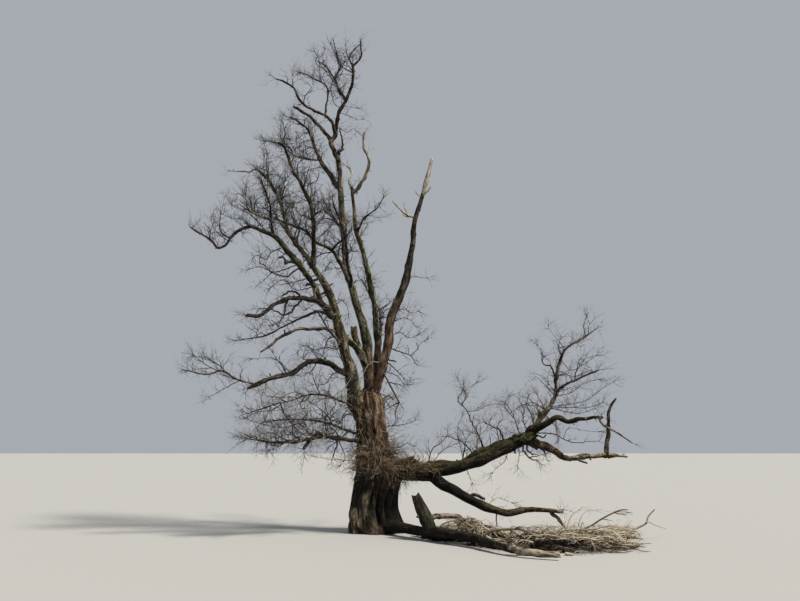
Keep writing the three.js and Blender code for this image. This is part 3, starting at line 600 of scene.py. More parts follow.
for number, name in enumerate(slots):
    if name == "trunk" or name.startswith("brash"):
        continue
    if name == "low_right_ridge":
        line, radii = read_fused_limb(name, 9, 0.16)
    else:
        line, radii = read_limb(name)
    if name == "torn_slab":
        line, radii = np.linspace(line[0], line[-1], 4), radii[1] * np.array(SLAB_WIDTHS)
    share = BARK_SHARE.get(name, (1, 1, 1))
    radii = radii * np.interp(np.linspace(0, 1, len(radii)), SHARE_PLACES[len(share)], share)
    line[:, 2] -= SAG.get(name, 0) * np.sin(np.linspace(0, np.pi, len(line)))
    root, carriers[name] = to_carrier(line[0], radii[0], RUNS_BACK.get(name, 0))
    line = np.concatenate([[root], line])
    radii = np.concatenate([[radii[0]], radii])
    bark = LIMB_BARK.get(name, LIMB_BARK[slots[name]])
    piece, line, radii = limb_skin(name, line, radii, number, bark, WORN.get(name, (0, 0.1, 0.6)),
                                   name in BROKEN_ENDS)
    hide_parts(name)
    limbs[name] = (line, radii)

# Two more pieces of living wood between the leaders, a mossy bough that runs from one to the other and
# the stub on it. They are too small for solids of their own: for each, its radii and its places.
LEADER_LINKS = {
    "leader_link": ("middle_leader", (0.15, 0.11), [(368, 371), (363, 361), (358, 352), (351, 344), (342, 332)]),
    "leader_link_stub": ("leader_link", (0.12, 0.1), [(358, 352), (356, 340), (355, 327)]),
}
LINK_ENDS = {"leader_link": "left_leader"}


def nearest_seen(limb, pixel):
    """The place on a limb's middle line that the viewer sees nearest to this pixel."""
    line = limbs[limb][0]
    return line[np.linalg.norm(pixels_of(line) - pixel, axis=1).argmin()]


for number, (name, (bearer, girths, pixels)) in enumerate(LEADER_LINKS.items()):
    start = nearest_seen(bearer, pixels[0])
    end = nearest_seen(LINK_ENDS[name], pixels[-1]) if name in LINK_ENDS else start
    depths = np.linspace(start[1], end[1], len(pixels))
    line = np.array([start] + [seen(pixel, depth) for pixel, depth in zip(pixels[1:], depths[1:])])
    piece, line, radii = limb_skin(name, line, np.linspace(*girths, len(line)), 80 + number, mossy_bark,
                                   (0, 0, 1), name == "leader_link_stub")
    limbs[name] = (line, radii)

# The burrs: old bark has grown over wounds into lumpy swellings, one on the shoulder above the low limb
# and one where that limb divides. They are solid wood under rough bark.
BURRS = {
    "shoulder_burr": ((0.98, -0.2, 2.33), (0.36, 0.2, 0.16), "low_right_limb"),
    "fork_burr": ((4.95, -0.86, 3.12), (0.42, 0.22, 0.22), "low_right_limb"),
}
BURR_RINGS, BURR_SIDES = 36, 60
for number, (name, (middle, half, bark)) in enumerate(BURRS.items()):
    rise, turn = np.meshgrid(np.linspace(-1, 1, BURR_RINGS + 2)[1:-1] * np.pi / 2,
                             np.linspace(0, 2 * np.pi, BURR_SIDES, endpoint=False), indexing="ij")
    ball = np.stack([np.cos(rise) * np.cos(turn), np.cos(rise) * np.sin(turn), np.sin(rise)], axis=-1).reshape(-1, 3)
    ball = np.concatenate([ball, [[0, 0, -1], [0, 0, 1]]])
    rough = (1 + 0.4 * lumps(ball, (0.6, 0.6, 0.6), 40 + number) + 0.3 * lumps(ball, (0.28, 0.28, 0.28), 44 + number)
             + 0.1 * lumps(ball, (0.12, 0.12, 0.12), 48 + number))
    lump = ball * rough[:, None] * half
    lump[:, 2] += 0.45 * half[2] / half[0] * lump[:, 0]
    quads, triangles = skin_faces(BURR_RINGS, BURR_SIDES)
    burr = mesh_piece(name, lump + middle, quads, triangles, LIMB_BARK[bark], {"bark_at": lump + 9.0})

# The side branches and twigs: every bough carries crooked branches, these carry shoots, and the
# shoots carry fine twigs. Live-looking ones are dark purple-brown, dead ones have bleached to grey.
LARGEST_PIECE = 190000
# For each order of branching: its length, its radius, how far apart it stands on its parent, and
# the step in which it is drawn, in metres
ORDERS = [(1.6, 0.026, 1.0, 0.13), (0.75, 0.012, 0.24, 0.13), (0.34, 0.0065, 0.13, 0.12), (0.15, 0.0046, 0.085, 0.2)]
STICK_SIDES = (5, 4, 3, 3, 7)
TRACED = 4
CROOK = 0.36
PEG_SPACING = 0.32
GOLDEN_TURN = math.radians(137.5)
OUTSIDE_CAD = (0.06, 0.2, 0.42)
RAGGED_TOP = 0.9
low_corner = Vector(cad_box[0]) - Vector(OUTSIDE_CAD)
high_corner = Vector(cad_box[1]) + Vector(OUTSIDE_CAD)
low_corner.z = 0.03


def grow(shoots, start, way, order, scale, girth, lift, bleached, chance, bushy=0.9):
    """Adds a crooked shoot, and the smaller ones that it bears, to the list of shoots."""
    usual_length, usual_girth, _, step = ORDERS[order]
    length = usual_length * scale * chance.uniform(0.6, 1.25)
    girth = min(girth, usual_girth * (0.75 + 0.5 * scale) * chance.uniform(0.8, 1.2))
    count = max(1, round(length / step))
    places, bend = [start.copy()], Vector((0, 0, 0))
    ceiling = high_corner.z - chance.uniform(0, RAGGED_TOP)
    for _ in range(count):
        bend = bend * 0.5 + Vector([chance.gauss(0, 1) for _ in range(3)]) * CROOK * 0.5
        way = (way + bend + Vector((0, 0, lift * 0.16))).normalized()
        place = places[-1] + way * length / count
        inside = all(low < at < high for low, at, high in zip(low_corner, place, high_corner))
        if not inside or place.z > ceiling:
            break
        places.append(place)
    if len(places) < 2:
        return
    count = len(places) - 1
    radii = [girth * (1 - 0.6 * i / count) for i in range(count + 1)]
    shoots.append((places, radii, order, bleached))
    if order + 1 == len(ORDERS):
        return
    spacing = ORDERS[order + 1][2]
    at = spacing * chance.uniform(0.4, 1.1)
    spin = chance.uniform(0, 2 * math.pi)
    while at < length:
        part = at / length * count
        i = min(int(part), count - 1)
        place = places[i].lerp(places[i + 1], part - i)
        along = (places[i + 1] - places[i]).normalized()
        spin += GOLDEN_TURN + chance.gauss(0, 0.4)
        away = along.orthogonal().normalized()
        away.rotate(Quaternion(along, spin))
        lean = math.radians(chance.uniform(32, 65))
        child = along * math.cos(lean) + away * math.sin(lean)
        size = (0.55 + 0.6 * (1 - part / count)) * chance.uniform(0.6, 1.15)
        if chance.random() < bushy:
            grow(shoots, place, child, order + 1, size, radii[i] * 0.8, lift, bleached, chance, bushy)
        at += spacing * chance.uniform(0.6, 1.4)
    for _ in range(2):
        child = (way + Vector([chance.gauss(0, 0.35) for _ in range(3)])).normalized()
        grow(shoots, places[-1], child, order + 1, chance.uniform(0.7, 1.1), radii[-1] * 0.9, lift, bleached, chance,
             bushy)


def bear(shoots, line, radii, crowding, size, lift, bleached_share, first, chance, orders=(0, 1, 2)):
    """Sets branches, shoots and twigs along a limb, and a spray at its tip."""
    run = np.concatenate([[0], np.cumsum(np.linalg.norm(np.diff(line, axis=0), axis=1))])
    for order in orders:
        spacing = ORDERS[order][2] / crowding * (2 if order == 2 else 1)
        at = run[-1] * first + spacing * chance.uniform(0, 1)
        spin = chance.uniform(0, 2 * math.pi)
        while at < run[-1] * 0.985:
            i = min(int(np.searchsorted(run, at)), len(line) - 2)
            along = Vector(line[i + 1] - line[i]).normalized()
            spin += GOLDEN_TURN + chance.gauss(0, 0.5)
            away = along.orthogonal().normalized()
            away.rotate(Quaternion(along, spin))
            lean = math.radians(chance.uniform(38, 72))
            way = (along * math.cos(lean) + away * math.sin(lean) + Vector((0, 0, 0.25 + lift))).normalized()
            stronger = (0.8 + 0.3 * away.z) * (1.15 - 0.6 * at / run[-1])
            grow(shoots, Vector(line[i]), way, order, size * stronger, radii[i] * 0.6, lift,
                 chance.random() < bleached_share, chance)
            at += spacing * chance.uniform(0.6, 1.4)
    at = chance.uniform(0.1, 0.4)
    while at < run[-1] * 0.95:
        i = min(int(np.searchsorted(run, at)), len(line) - 2)
        along = Vector(line[i + 1] - line[i]).normalized()
        away = along.orthogonal().normalized()
        away.rotate(Quaternion(along, chance.uniform(0, 2 * math.pi)))
        way = (away + along * chance.uniform(-0.2, 0.9)).normalized()
        girth = min(0.034, max(0.011, radii[i] * chance.uniform(0.15, 0.4)))
        reach = radii[i] + girth * chance.uniform(1.5, 5.5)
        base = Vector(line[i])
        knee = base + way * reach * 0.75
        end = knee + (way + Vector([chance.gauss(0, 0.4) for _ in range(3)])).normalized() * reach * 0.35
        shoots.append(([base, knee, end, end + (end - knee) * 0.15], [girth, girth * 0.85, girth * 0.6, 0], 0, chance.random() < 0.15))
        at += (PEG_SPACING + 6 * max(0, radii[i] - 0.06)) * chance.uniform(0.3, 1.7)
    for _ in range(3):
        along = Vector(line[-1] - line[-4]).normalized()
        way = (along + Vector([chance.gauss(0, 0.4) for _ in range(3)])).normalized()
        grow(shoots, Vector(line[-2]), way, 1, 0.6 * size, max(radii[-2], 0.01) * 0.8, lift,
             chance.random() < bleached_share, chance)


def stick_skins(sticks, sides):
    """Closed thin tubes that run out to a point, for many sticks at once."""
    by_count = {}
    for stick in sticks:
        by_count.setdefault(len(stick[0]), []).append(stick)
    skins, quads, triangles, tones, offset = [], [np.zeros((0, 4), int)], [], [], 0
    for count, group in by_count.items():
        line = np.array([[tuple(p) for p in stick[0]] for stick in group])
        wide = np.array([stick[1] for stick in group])[:, :-1]
        tone = np.array([stick[3] for stick in group], dtype=float)
        heading = np.gradient(line, axis=1)
        heading /= np.linalg.norm(heading, axis=2, keepdims=True) + 1e-9
        mean = heading.mean(axis=1)
        helper = np.where(np.abs(mean[:, 2:3]) < 0.8, [[0.1, 0.2, 1.0]], [[1.0, 0.3, 0.1]])
        side = np.cross(mean, helper)[:, None, :]
        side = side - heading * np.sum(side * heading, axis=2, keepdims=True)
        side /= np.linalg.norm(side, axis=2, keepdims=True)
        over = np.cross(heading, side)
        turn = np.arange(sides) * 2 * np.pi / sides
        ring = np.cos(turn)[:, None] * side[:, :-1, None] + np.sin(turn)[:, None] * over[:, :-1, None]
        skin = line[:, :-1, None] + wide[:, :, None, None] * ring
        number = len(group)
        rings = count - 1
        each = rings * sides + 1
        skins.append(np.concatenate([skin.reshape(number, -1, 3), line[:, -1:]], axis=1).reshape(-1, 3))
        level, here = np.meshgrid(np.arange(rings - 1), np.arange(sides), indexing="ij")
        after = (here + 1) % sides
        quad = np.stack([level * sides + here, level * sides + after, (level + 1) * sides + after,
                         (level + 1) * sides + here], axis=-1).reshape(-1, 4)
        last = (rings - 1) * sides
        ends = [[last + i, last + (i + 1) % sides, each - 1] for i in range(sides)]
        ends += [[0, i + 1, i] for i in range(1, sides - 1)]
        starts = offset + np.arange(number)[:, None, None] * each
        quads.append((quad[None] + starts).reshape(-1, 4))
        triangles.append((np.array(ends)[None] + starts).reshape(-1, 3))
        tones.append(np.repeat(tone, each))
        offset += number * each
    return np.concatenate(skins), np.concatenate(quads), np.concatenate(triangles), np.concatenate(tones)


def stick_pieces(name, sticks, material):
    """Joins sticks of one kind into pieces of limited size."""
    batches, size = [[]], 0
    for stick in sticks:
        faces = 2 * (len(stick[0]) - 1) * STICK_SIDES[stick[2]]
        if size + faces > LARGEST_PIECE:
            batches.append([])
            size = 0
        batches[-1].append(stick)
        size += faces
    pieces = []
    for number, batch in enumerate(batches, 1):
        parts, offset = [], 0
        for sides in sorted(set(STICK_SIDES)):
            chosen = [stick for stick in batch if STICK_SIDES[stick[2]] == sides]
            if chosen:
                skin, quads, triangles, tone = stick_skins(chosen, sides)
                parts.append((skin, quads + offset, triangles + offset, tone))
                offset += len(skin)
        skin, quads, triangles, tone = (np.concatenate(group) for group in zip(*parts))
        piece = mesh_piece(f"{name}_{number}", skin, quads, triangles, material, {"tone": tone})
        pieces.append(piece)
    return pieces


def stick_material(name, colours, roughness):
    """Thin smooth bark: plain colour that changes a little from stick to stick and along each."""
    wood = new_material(name)
    tone = add(wood, "Attribute", attribute_name="tone")
    here = add(wood, "TexCoord")
    drift = add(wood, "TexNoise", {"Vector": here.outputs["Object"], "Scale": 9, "Detail": 4, "Roughness": 0.7})
    mixed = add(wood, "Math", {0: drift.outputs["Fac"], 1: 0.7, 2: tone.outputs["Fac"]}, operation="MULTIPLY_ADD")
    colour = add(wood, "ValToRGB", {"Fac": mixed.outputs[0]}, stops=colours)
    bump = add(wood, "Bump", {"Height": drift.outputs["Fac"], "Strength": 0.4, "Distance": 0.004})
    shader = add(wood, "BsdfPrincipled", {"Base Color": colour.outputs[0], "Roughness": roughness,
                                          "Specular IOR Level": 0.3, "Normal": bump.outputs[0]})
    add(wood, "OutputMaterial", {"Surface": shader.outputs[0]})
    return wood


twig_bark = stick_material("purple_brown_twig_bark", [(0.2, "#130e0d"), (0.6, "#2a211f"), (1.0, "#473b36")], 0.75)
bleached_bark = stick_material("bleached_twig_wood", [(0.2, "#6b6053"), (0.6, "#9c9282"), (1.0, "#cfc6b5")], 0.8)

# The smaller branches that the photo shows one by one. Each starts on the limb that bears it and runs
# on through pixels of the photo: bearer, radius in metres, how far it comes nearer (-) or goes back,
# how many twigs it bears, kind, pixels. A spar is bare and pale, a stub is broken off short.
SMALL_BRANCHES = {
    "crown_right_strand": ("upper_leader", 0.055, 0.0, 0.6, "branch",
                           [(339, 156), (341, 150), (342.5, 143), (341, 135), (338.5, 128)]),
    "crown_loop": ("upper_leader", 0.03, -0.5, 0.9, "branch",
                   [(345, 100), (341, 92), (338, 87), (334, 82), (331, 78), (330, 74), (325, 70), (318, 66), (315, 60)]),
    "crown_loop_side": ("crown_loop", 0.02, 0.3, 0.8, "branch", [(334, 80), (338, 73), (342, 67), (345, 60), (343, 52)]),
    "crown_upright": ("upper_leader", 0.024, 0.3, 0.9, "branch",
                      [(351, 73), (347, 70), (342, 67), (338, 63), (337, 55), (334, 50), (331, 43)]),
    "crown_left_twigs": ("crown_loop", 0.016, 0.2, 1.1, "branch", [(331, 78), (327, 74), (324, 66), (323, 57), (325, 48)]),
    "crown_right_twig": ("upper_leader", 0.012, -0.3, 1.0, "branch", [(341, 113), (352, 117), (358, 120), (363, 119)]),
    "crown_right_twig_up": ("upper_leader", 0.012, 0.4, 1.2, "branch", [(344, 107), (350, 107), (357, 108)]),
    "crown_knot_twig": ("upper_leader", 0.016, -0.3, 1.0, "branch", [(341, 108), (336, 105), (333, 101), (332, 96)]),
    "upper_left_fork": ("inner_left_bough", 0.022, 0.3, 1.3, "branch",
                        [(286, 146), (284, 139), (285, 133), (284, 127), (281, 120)]),
    "upper_left_fork_side": ("upper_left_fork", 0.015, -0.4, 1.3, "branch", [(285, 137), (290, 140), (297, 142)]),
    "high_bough_twig": ("high_left_bough", 0.018, -0.4, 1.3, "branch", [(310, 141), (303, 142), (299, 147), (293, 150)]),
    "high_bough_curl": ("high_left_bough", 0.016, 0.5, 1.3, "branch", [(309, 134), (304, 133), (299, 138), (292, 139)]),
    "flat_upper_twig": ("high_left_bough", 0.016, -0.7, 0.8, "branch", [(322, 168), (312, 169), (304, 173), (298, 172)]),
    "underside_spray": ("long_left_bough", 0.032, -0.6, 1.4, "branch",
                        [(301, 268), (293, 272), (287, 277), (279, 275), (271, 272), (265, 266), (259, 262), (262, 253)]),
    "underside_spray_low": ("underside_spray", 0.016, 0.3, 1.4, "branch", [(272, 272), (266, 278), (260, 284)]),
    "underside_spray_high": ("long_left_bough", 0.022, 0.5, 1.4, "branch",
                             [(297, 265), (283, 270), (273, 272), (262, 267), (251, 268)]),
    "underside_whip": ("left_leader", 0.02, -0.7, 1.5, "branch", [(311, 280), (298, 281), (284, 284), (271, 286)]),
    "underside_hook": ("long_left_bough", 0.05, -0.4, 0.0, "stub", [(298, 262), (290, 262), (285, 264), (285, 259), (279, 257)]),
    "leader_stub": ("left_leader", 0.05, -0.4, 0.0, "stub", [(313, 283), (309, 284), (306, 285.5)]),
    "hanging_haze": ("long_left_bough", 0.02, 0.7, 1.8, "branch", [(283, 248), (272, 252), (266, 259), (257, 255), (252, 259)]),
    "hanging_haze_low": ("left_leader", 0.02, 0.9, 1.8, "branch", [(312, 290), (297, 290), (283, 280), (268, 290)]),
    "outer_haze": ("long_left_bough", 0.02, 0.6, 1.6, "branch", [(267, 233), (258, 222), (248, 213), (239, 209), (231, 205)]),
    "outer_haze_low": ("long_left_bough", 0.016, -0.5, 1.8, "branch", [(247, 226), (241, 218), (233, 219), (222, 214)]),
    "hook_twigs": ("long_left_hook", 0.016, 0.4, 1.8, "branch", [(226, 240), (219, 234), (213, 226), (211, 216)]),
    "pale_upright": ("fanned_left_bough", 0.02, -0.4, 0.7, "spar", [(276, 196), (273, 205), (276, 214), (274, 226)]),
    "pale_upright_side": ("fanned_left_bough", 0.016, -0.3, 0.7, "spar", [(277, 200), (283, 191), (281, 183)]),
    "pale_fan": ("rising_left_branch", 0.016, -0.3, 0.8, "spar", [(270, 207), (268, 197), (266, 190), (260, 183)]),
    "pale_peg": ("outer_left_branch", 0.016, 0.0, 0.0, "spar", [(256, 213), (255, 209), (255.5, 220)]),
    "pale_curl": ("fanned_left_bough", 0.018, -0.4, 0.9, "spar", [(281, 209), (289, 209), (293, 204), (297, 203)]),
    "inner_twig": ("inner_left_bough", 0.018, -0.5, 2.2, "branch", [(311, 222), (304, 216), (297, 212), (294, 206)]),
    "inner_twig_right": ("inner_left_bough", 0.018, 0.5, 1.5, "branch", [(312, 216), (320, 211), (324, 203), (331, 196)]),
    "inner_loop": ("crossing_bough", 0.016, -0.5, 2.0, "branch", [(317, 239), (325, 232), (331, 225), (334, 216)]),
    "inner_haze": ("inner_left_bough", 0.016, 0.6, 2.4, "branch", [(313, 230), (307, 226), (300, 231), (296, 240)]),
    "inner_haze_low": ("long_left_bough", 0.016, 0.6, 2.4, "branch", [(306, 262), (309, 254), (304, 247), (309, 241)]),
    "fan_haze": ("fanned_left_bough", 0.016, 0.4, 2.4, "branch", [(280, 214), (272, 222), (268, 231), (276, 238)]),
    "crown_left_haze": ("crown_loop", 0.012, 0.3, 1.4, "branch", [(322, 70), (319, 62), (317, 55), (314, 51)]),
    "crown_top_haze": ("crown_loop_side", 0.012, -0.2, 2.6, "branch", [(341, 67), (337, 58), (333, 50), (330, 43)]),
    "crown_left_haze_low": ("crown_inner_branch", 0.012, -0.3, 1.3, "branch", [(318, 82), (311, 77), (306, 78), (303, 73)]),
    "crown_right_haze": ("upper_leader", 0.012, 0.5, 1.6, "branch", [(340, 128), (347, 132), (353, 129), (358, 132)]),
    "ridge_haze": ("low_right_ridge", 0.014, 0.4, 2.4, "branch", [(500, 442), (497, 428), (503, 417), (500, 408)]),
    "ridge_haze_left": ("low_right_ridge", 0.013, 0.4, 2.2, "branch", [(474, 450), (478, 438), (486, 430), (490, 420)]),
    "inner_fork": ("crossing_bough", 0.016, -0.3, 0.8, "branch", [(325, 248), (319, 256), (314, 261)]),
    "knobbly_lower": ("knobbly_bough", 0.045, -0.2, 0.3, "branch",
                      [(303, 300), (297, 305), (291, 312), (284, 315), (277, 312), (270, 309), (258, 309)]),
    "knobbly_drop": ("knobbly_bough", 0.03, 0.3, 0.6, "branch", [(292, 311), (283, 317), (277, 323), (272, 327)]),
    "knobbly_upper": ("knobbly_bough", 0.045, -0.4, 0.2, "stub", [(301, 298), (297, 293), (291, 291), (283, 295)]),
    "knobbly_inner": ("left_leader", 0.04, -0.6, 0.5, "branch", [(318, 296), (309, 298), (303, 300)]),
    "dead_bough_peg": ("dead_left_bough", 0.03, -0.1, 0.0, "stub", [(285, 334), (284.5, 331), (284, 330)]),
    "arching_haze": ("left_leader", 0.02, 0.3, 3.0, "branch", [(336, 352), (325, 348), (315, 350), (304, 345), (297, 352)]),
    "arching_haze_mid": ("arching_bough", 0.016, 0.2, 2.6, "branch", [(330, 366), (322, 356), (312, 352), (302, 358)]),
    "arching_haze_low": ("arching_bough", 0.018, 0.5, 2.4, "branch", [(318, 361), (312, 370), (302, 376), (290, 374)]),
    "arching_haze_down": ("left_leader", 0.02, 0.4, 1.9, "branch", [(343, 368), (333, 374), (325, 384), (312, 385)]),
    "arching_tip_rise": ("arching_bough_tip", 0.02, -0.2, 2.2, "branch",
                         [(228, 372), (220, 366), (213, 362), (207, 358), (199, 357), (193, 356)]),
    "arching_tip_drop": ("arching_bough_tip", 0.014, 0.3, 2.0, "branch", [(240, 379), (229, 386), (218, 392), (208, 398)]),
    "arching_up": ("arching_bough", 0.014, 0.3, 1.0, "branch", [(290, 370), (282, 364), (270, 358), (252, 359)]),
    "net_diagonal": ("flat_low_bough", 0.022, -0.2, 1.5, "branch",
                     [(281, 404), (284, 413), (290, 421), (296, 428), (303, 434), (312, 441)]),
    "net_upright": ("drooping_low_bough", 0.024, 0.3, 1.5, "branch",
                    [(327, 434), (325, 421), (327, 413), (325, 405), (326, 396)]),
    "net_inner": ("trunk", 0.022, -0.6, 1.5, "branch", [(360, 417), (350, 414), (344, 417), (340, 422), (333, 429)]),
    "net_bottom": ("drooping_low_bough", 0.022, -0.2, 1.8, "branch",
                   [(316, 430), (305, 434), (295, 439), (285, 442), (275, 443), (262, 441), (250, 436)]),
    "net_middle": ("drooping_low_bough", 0.018, 0.5, 1.8, "branch",
                   [(312, 430), (300, 424), (288, 427), (277, 427), (266, 425), (255, 422), (247, 419)]),
    "net_top": ("flat_low_bough", 0.016, -0.4, 1.8, "branch", [(283, 404), (272, 410), (258, 412), (245, 418)]),
    "net_haze": ("flat_low_bough", 0.018, -0.5, 2.0, "branch", [(305, 395), (300, 405), (306, 414), (298, 421), (288, 419)]),
    "net_haze_right": ("flat_low_bough", 0.018, 0.5, 2.0, "branch", [(330, 395), (336, 404), (330, 413), (338, 420)]),
    "drooping_knot": ("drooping_low_bough", 0.075, -0.2, 0.4, "stub",
                      [(325, 434), (318, 433), (312, 439), (307, 445), (304, 449)]),
    "drooping_peg": ("drooping_low_bough", 0.03, -0.2, 0.4, "stub", [(336, 436), (337, 444), (335, 451), (333, 456)]),
    "drooping_twig": ("drooping_low_bough", 0.02, -0.3, 1.0, "branch", [(338, 437), (342, 448), (345, 458), (340, 466)]),
    "low_pale_whip": ("trunk", 0.013, -0.5, 1.0, "spar", [(359, 464), (350, 461), (338, 459), (328, 459), (315, 457)]),
    "bole_pale_sweep": ("trunk", 0.018, -0.3, 0.4, "spar", [(359, 456), (367, 450), (376, 446), (381, 445)]),
    "bole_pale_drop": ("trunk", 0.016, -0.2, 0.2, "spar", [(374, 458), (376, 467), (378, 476)]),
    "bole_pale_arch": ("left_leader", 0.018, -0.4, 0.4, "spar", [(352, 384), (345, 379), (336, 377)]),
    "bole_high_sweep": ("right_leader", 0.016, -0.5, 0.3, "spar", [(381, 362), (372, 362), (366, 368), (362, 378)]),
    "shoulder_stick": ("trunk", 0.024, -0.3, 0.2, "spar", [(388, 456), (393, 463), (398, 470), (403, 477)]),
    "limb_start_whip": ("low_right_limb", 0.022, -0.3, 1.0, "branch", [(426, 463), (432, 450), (441, 443), (449, 434)]),
    "limb_start_second": ("low_right_limb", 0.014, 0.4, 1.0, "branch", [(429, 463), (440, 453), (455, 444), (466, 441)]),
    "ridge_hook": ("low_right_ridge", 0.024, -0.2, 1.0, "branch", [(471, 451), (463, 443), (450, 437), (443, 436)]),
    "ridge_upright": ("low_right_ridge", 0.012, 0.2, 2.4, "branch", [(459, 456), (459, 440), (458, 426), (463, 415)]),
    "ridge_whip": ("low_right_ridge", 0.028, -0.3, 1.2, "branch",
                   [(483, 446), (480, 438), (472, 423), (467, 411), (458, 400), (464, 388)]),
    "ridge_whip_side": ("ridge_whip", 0.013, 0.3, 2.2, "branch", [(467, 411), (478, 410), (489, 405), (501, 404)]),
    "ridge_whip_left": ("ridge_whip", 0.012, 0.3, 2.0, "branch", [(461, 404), (468, 396), (466, 390), (478, 382)]),
    "ridge_peg": ("low_right_ridge", 0.035, -0.2, 1.6, "branch", [(504, 440), (501, 433), (498, 429), (490, 425), (485, 422)]),
    "thicket_left": ("low_right_ridge", 0.02, 0.3, 2.6, "branch", [(520, 434), (516, 423), (512, 413), (505, 402)]),
    "thicket_middle": ("low_right_ridge", 0.02, -0.3, 2.6, "branch", [(528, 431), (523, 420), (524, 409), (518, 399)]),
    "thicket_right": ("low_right_ridge", 0.02, 0.3, 2.6, "branch", [(533, 428), (532, 416), (527, 405), (529, 393)]),
    "thicket_peg": ("low_right_ridge", 0.05, 0.0, 0.8, "stub", [(541, 425), (539, 416), (538, 410)]),
    "thicket_far": ("upswept_bough", 0.018, -0.3, 2.4, "branch", [(547, 413), (541, 402), (537, 395)]),
    "upswept_left_whip": ("upswept_bough", 0.014, -0.2, 0.8, "branch", [(554, 396), (545, 385), (534.5, 375)]),
    "upswept_hook": ("upswept_bough", 0.032, -0.2, 0.7, "branch",
                     [(557, 367), (551, 366.5), (545, 365), (541.5, 361), (544, 356)]),
    "upswept_hook_twig": ("upswept_hook", 0.012, 0.2, 1.0, "branch", [(542, 361), (541, 351), (537, 344)]),
    "upswept_peg": ("upswept_bough", 0.018, -0.2, 0.0, "stub", [(559, 371), (564, 374), (569.5, 375.5)]),
    "upswept_straight": ("upswept_tip", 0.01, -0.3, 0.6, "branch", [(565, 349), (557, 339.5), (548, 328)]),
    "upswept_tip_up": ("upswept_tip", 0.014, -0.2, 1.2, "branch", [(584, 335), (584, 325), (587, 316)]),
    "upswept_right_whip": ("upswept_tip", 0.012, -0.5, 1.2, "branch", [(560, 359), (571, 370), (587, 362), (598, 354.5)]),
    "long_right_whip": ("upswept_bough", 0.014, -0.6, 2.2, "branch",
                        [(552, 408), (571, 404), (587, 400), (603, 388), (615, 381)]),
    "long_right_low": ("upswept_bough", 0.015, 0.5, 2.0, "branch", [(551, 409), (569, 407.5), (589, 407.5), (604, 402)]),
    "long_right_fork": ("upswept_bough", 0.013, -0.2, 2.0, "branch", [(552, 410), (568, 412), (580, 413.5), (596, 408)]),
    "long_right_upper": ("upswept_bough", 0.013, 0.4, 2.2, "branch", [(556, 396), (570, 393), (585, 383), (600, 379)]),
    "pale_hanging_stick": ("forward_right_bough", 0.032, -0.1, 0.0, "spar", [(555.5, 420), (557, 432), (559, 444)]),
    "lower_whip": ("low_right_ridge", 0.022, -0.4, 0.4, "branch",
                   [(540, 432), (555, 434), (563, 439), (577.5, 443), (587, 441.5), (601, 441)]),
    "lower_whip_side": ("lower_whip", 0.011, 0.1, 0.5, "branch", [(563, 439), (566, 431), (571, 428), (588, 431), (600, 431.5)]),
    "fork_peg": ("low_right_ridge", 0.03, -0.3, 0.0, "stub", [(538, 438), (543, 437.5), (546, 434.5)]),
    "fork_hanging_limb": ("low_right_limb", 0.045, -0.35, 0.5, "branch",
                          [(524, 436), (522.5, 443), (524.5, 451.5), (530.5, 459), (538, 461)]),
    "fork_hanging_fork": ("fork_hanging_limb", 0.02, 0.1, 0.6, "branch", [(529, 458), (537, 456), (549, 452.5)]),
    "fork_hanging_twig": ("low_right_limb", 0.016, -0.3, 0.6, "branch", [(521, 446), (519, 457), (517, 467)]),
    "limb_drop": ("low_right_limb", 0.04, -0.1, 0.0, "stub", [(514.5, 443), (515, 449), (515.3, 453.5)]),
    "under_limb_whip": ("low_right_limb", 0.014, -0.3, 0.6, "branch", [(510, 451), (505, 461), (496, 468), (492, 474)]),
    "under_limb_twig": ("low_right_limb", 0.012, -0.3, 0.5, "branch", [(467, 472), (470, 477), (473, 484)]),
    "rear_bough_stub": ("rear_right_bough", 0.045, -0.2, 0.0, "stub", [(568, 455), (577, 459), (587, 463.5)]),
    "rear_bough_peg": ("rear_right_bough", 0.035, -0.1, 0.0, "stub", [(586, 456), (589, 458), (591, 460)]),
    "rear_bough_end": ("rear_right_bough", 0.03, 0.0, 0.0, "spar", [(618, 457.5), (622, 455), (627, 452.5)]),
    "right_leader_spur": ("right_leader", 0.035, -0.3, 0.0, "spar", [(424, 197), (428, 191), (431, 185)]),
    "right_leader_spur_left": ("right_leader", 0.026, -0.2, 0.0, "spar", [(420, 197), (417, 194), (415, 190)]),
    "right_leader_whip": ("right_leader", 0.014, -0.4, 0.3, "branch", [(409, 277), (418, 277), (428, 278.5)]),
    "right_stub_upper": ("right_leader_stub", 0.035, 0.1, 0.0, "spar", [(409, 214), (405, 208), (404, 201)]),
    "right_stub_lower": ("right_leader_stub", 0.025, -0.1, 0.0, "spar", [(405, 211), (399, 208), (394, 202)]),
    "right_stub_peg": ("right_leader_stub", 0.03, -0.1, 0.0, "spar", [(411, 217), (406, 217), (402, 214)]),
    "hanging_hook": ("hanging_right_branch", 0.034, -0.1, 0.3, "branch", [(400, 401), (396, 404), (390, 407)]),
    "bole_right_knee": ("right_leader", 0.024, -0.2, 0.8, "branch",
                        [(389, 348), (398, 351), (411, 356), (415, 363), (419, 366)]),
    "bole_right_fork": ("bole_right_knee", 0.016, 0.2, 1.2, "branch", [(411, 356), (417, 350), (420, 344), (428, 339)]),
    "bole_right_peg": ("right_leader", 0.03, -0.2, 0.0, "stub", [(388, 360), (393, 361), (396, 362)]),
    "bole_right_slant": ("right_leader", 0.022, -0.3, 0.4, "branch", [(388, 361), (395, 369), (402, 376), (405, 378)]),
    "bole_right_drop": ("hanging_right_branch", 0.02, 0.2, 1.2, "branch", [(395, 405), (395, 413), (396, 421), (392, 427)]),
    "bole_right_whisker": ("trunk", 0.016, 0.3, 1.6, "branch", [(388, 425), (400, 425), (409, 423), (416, 420)]),
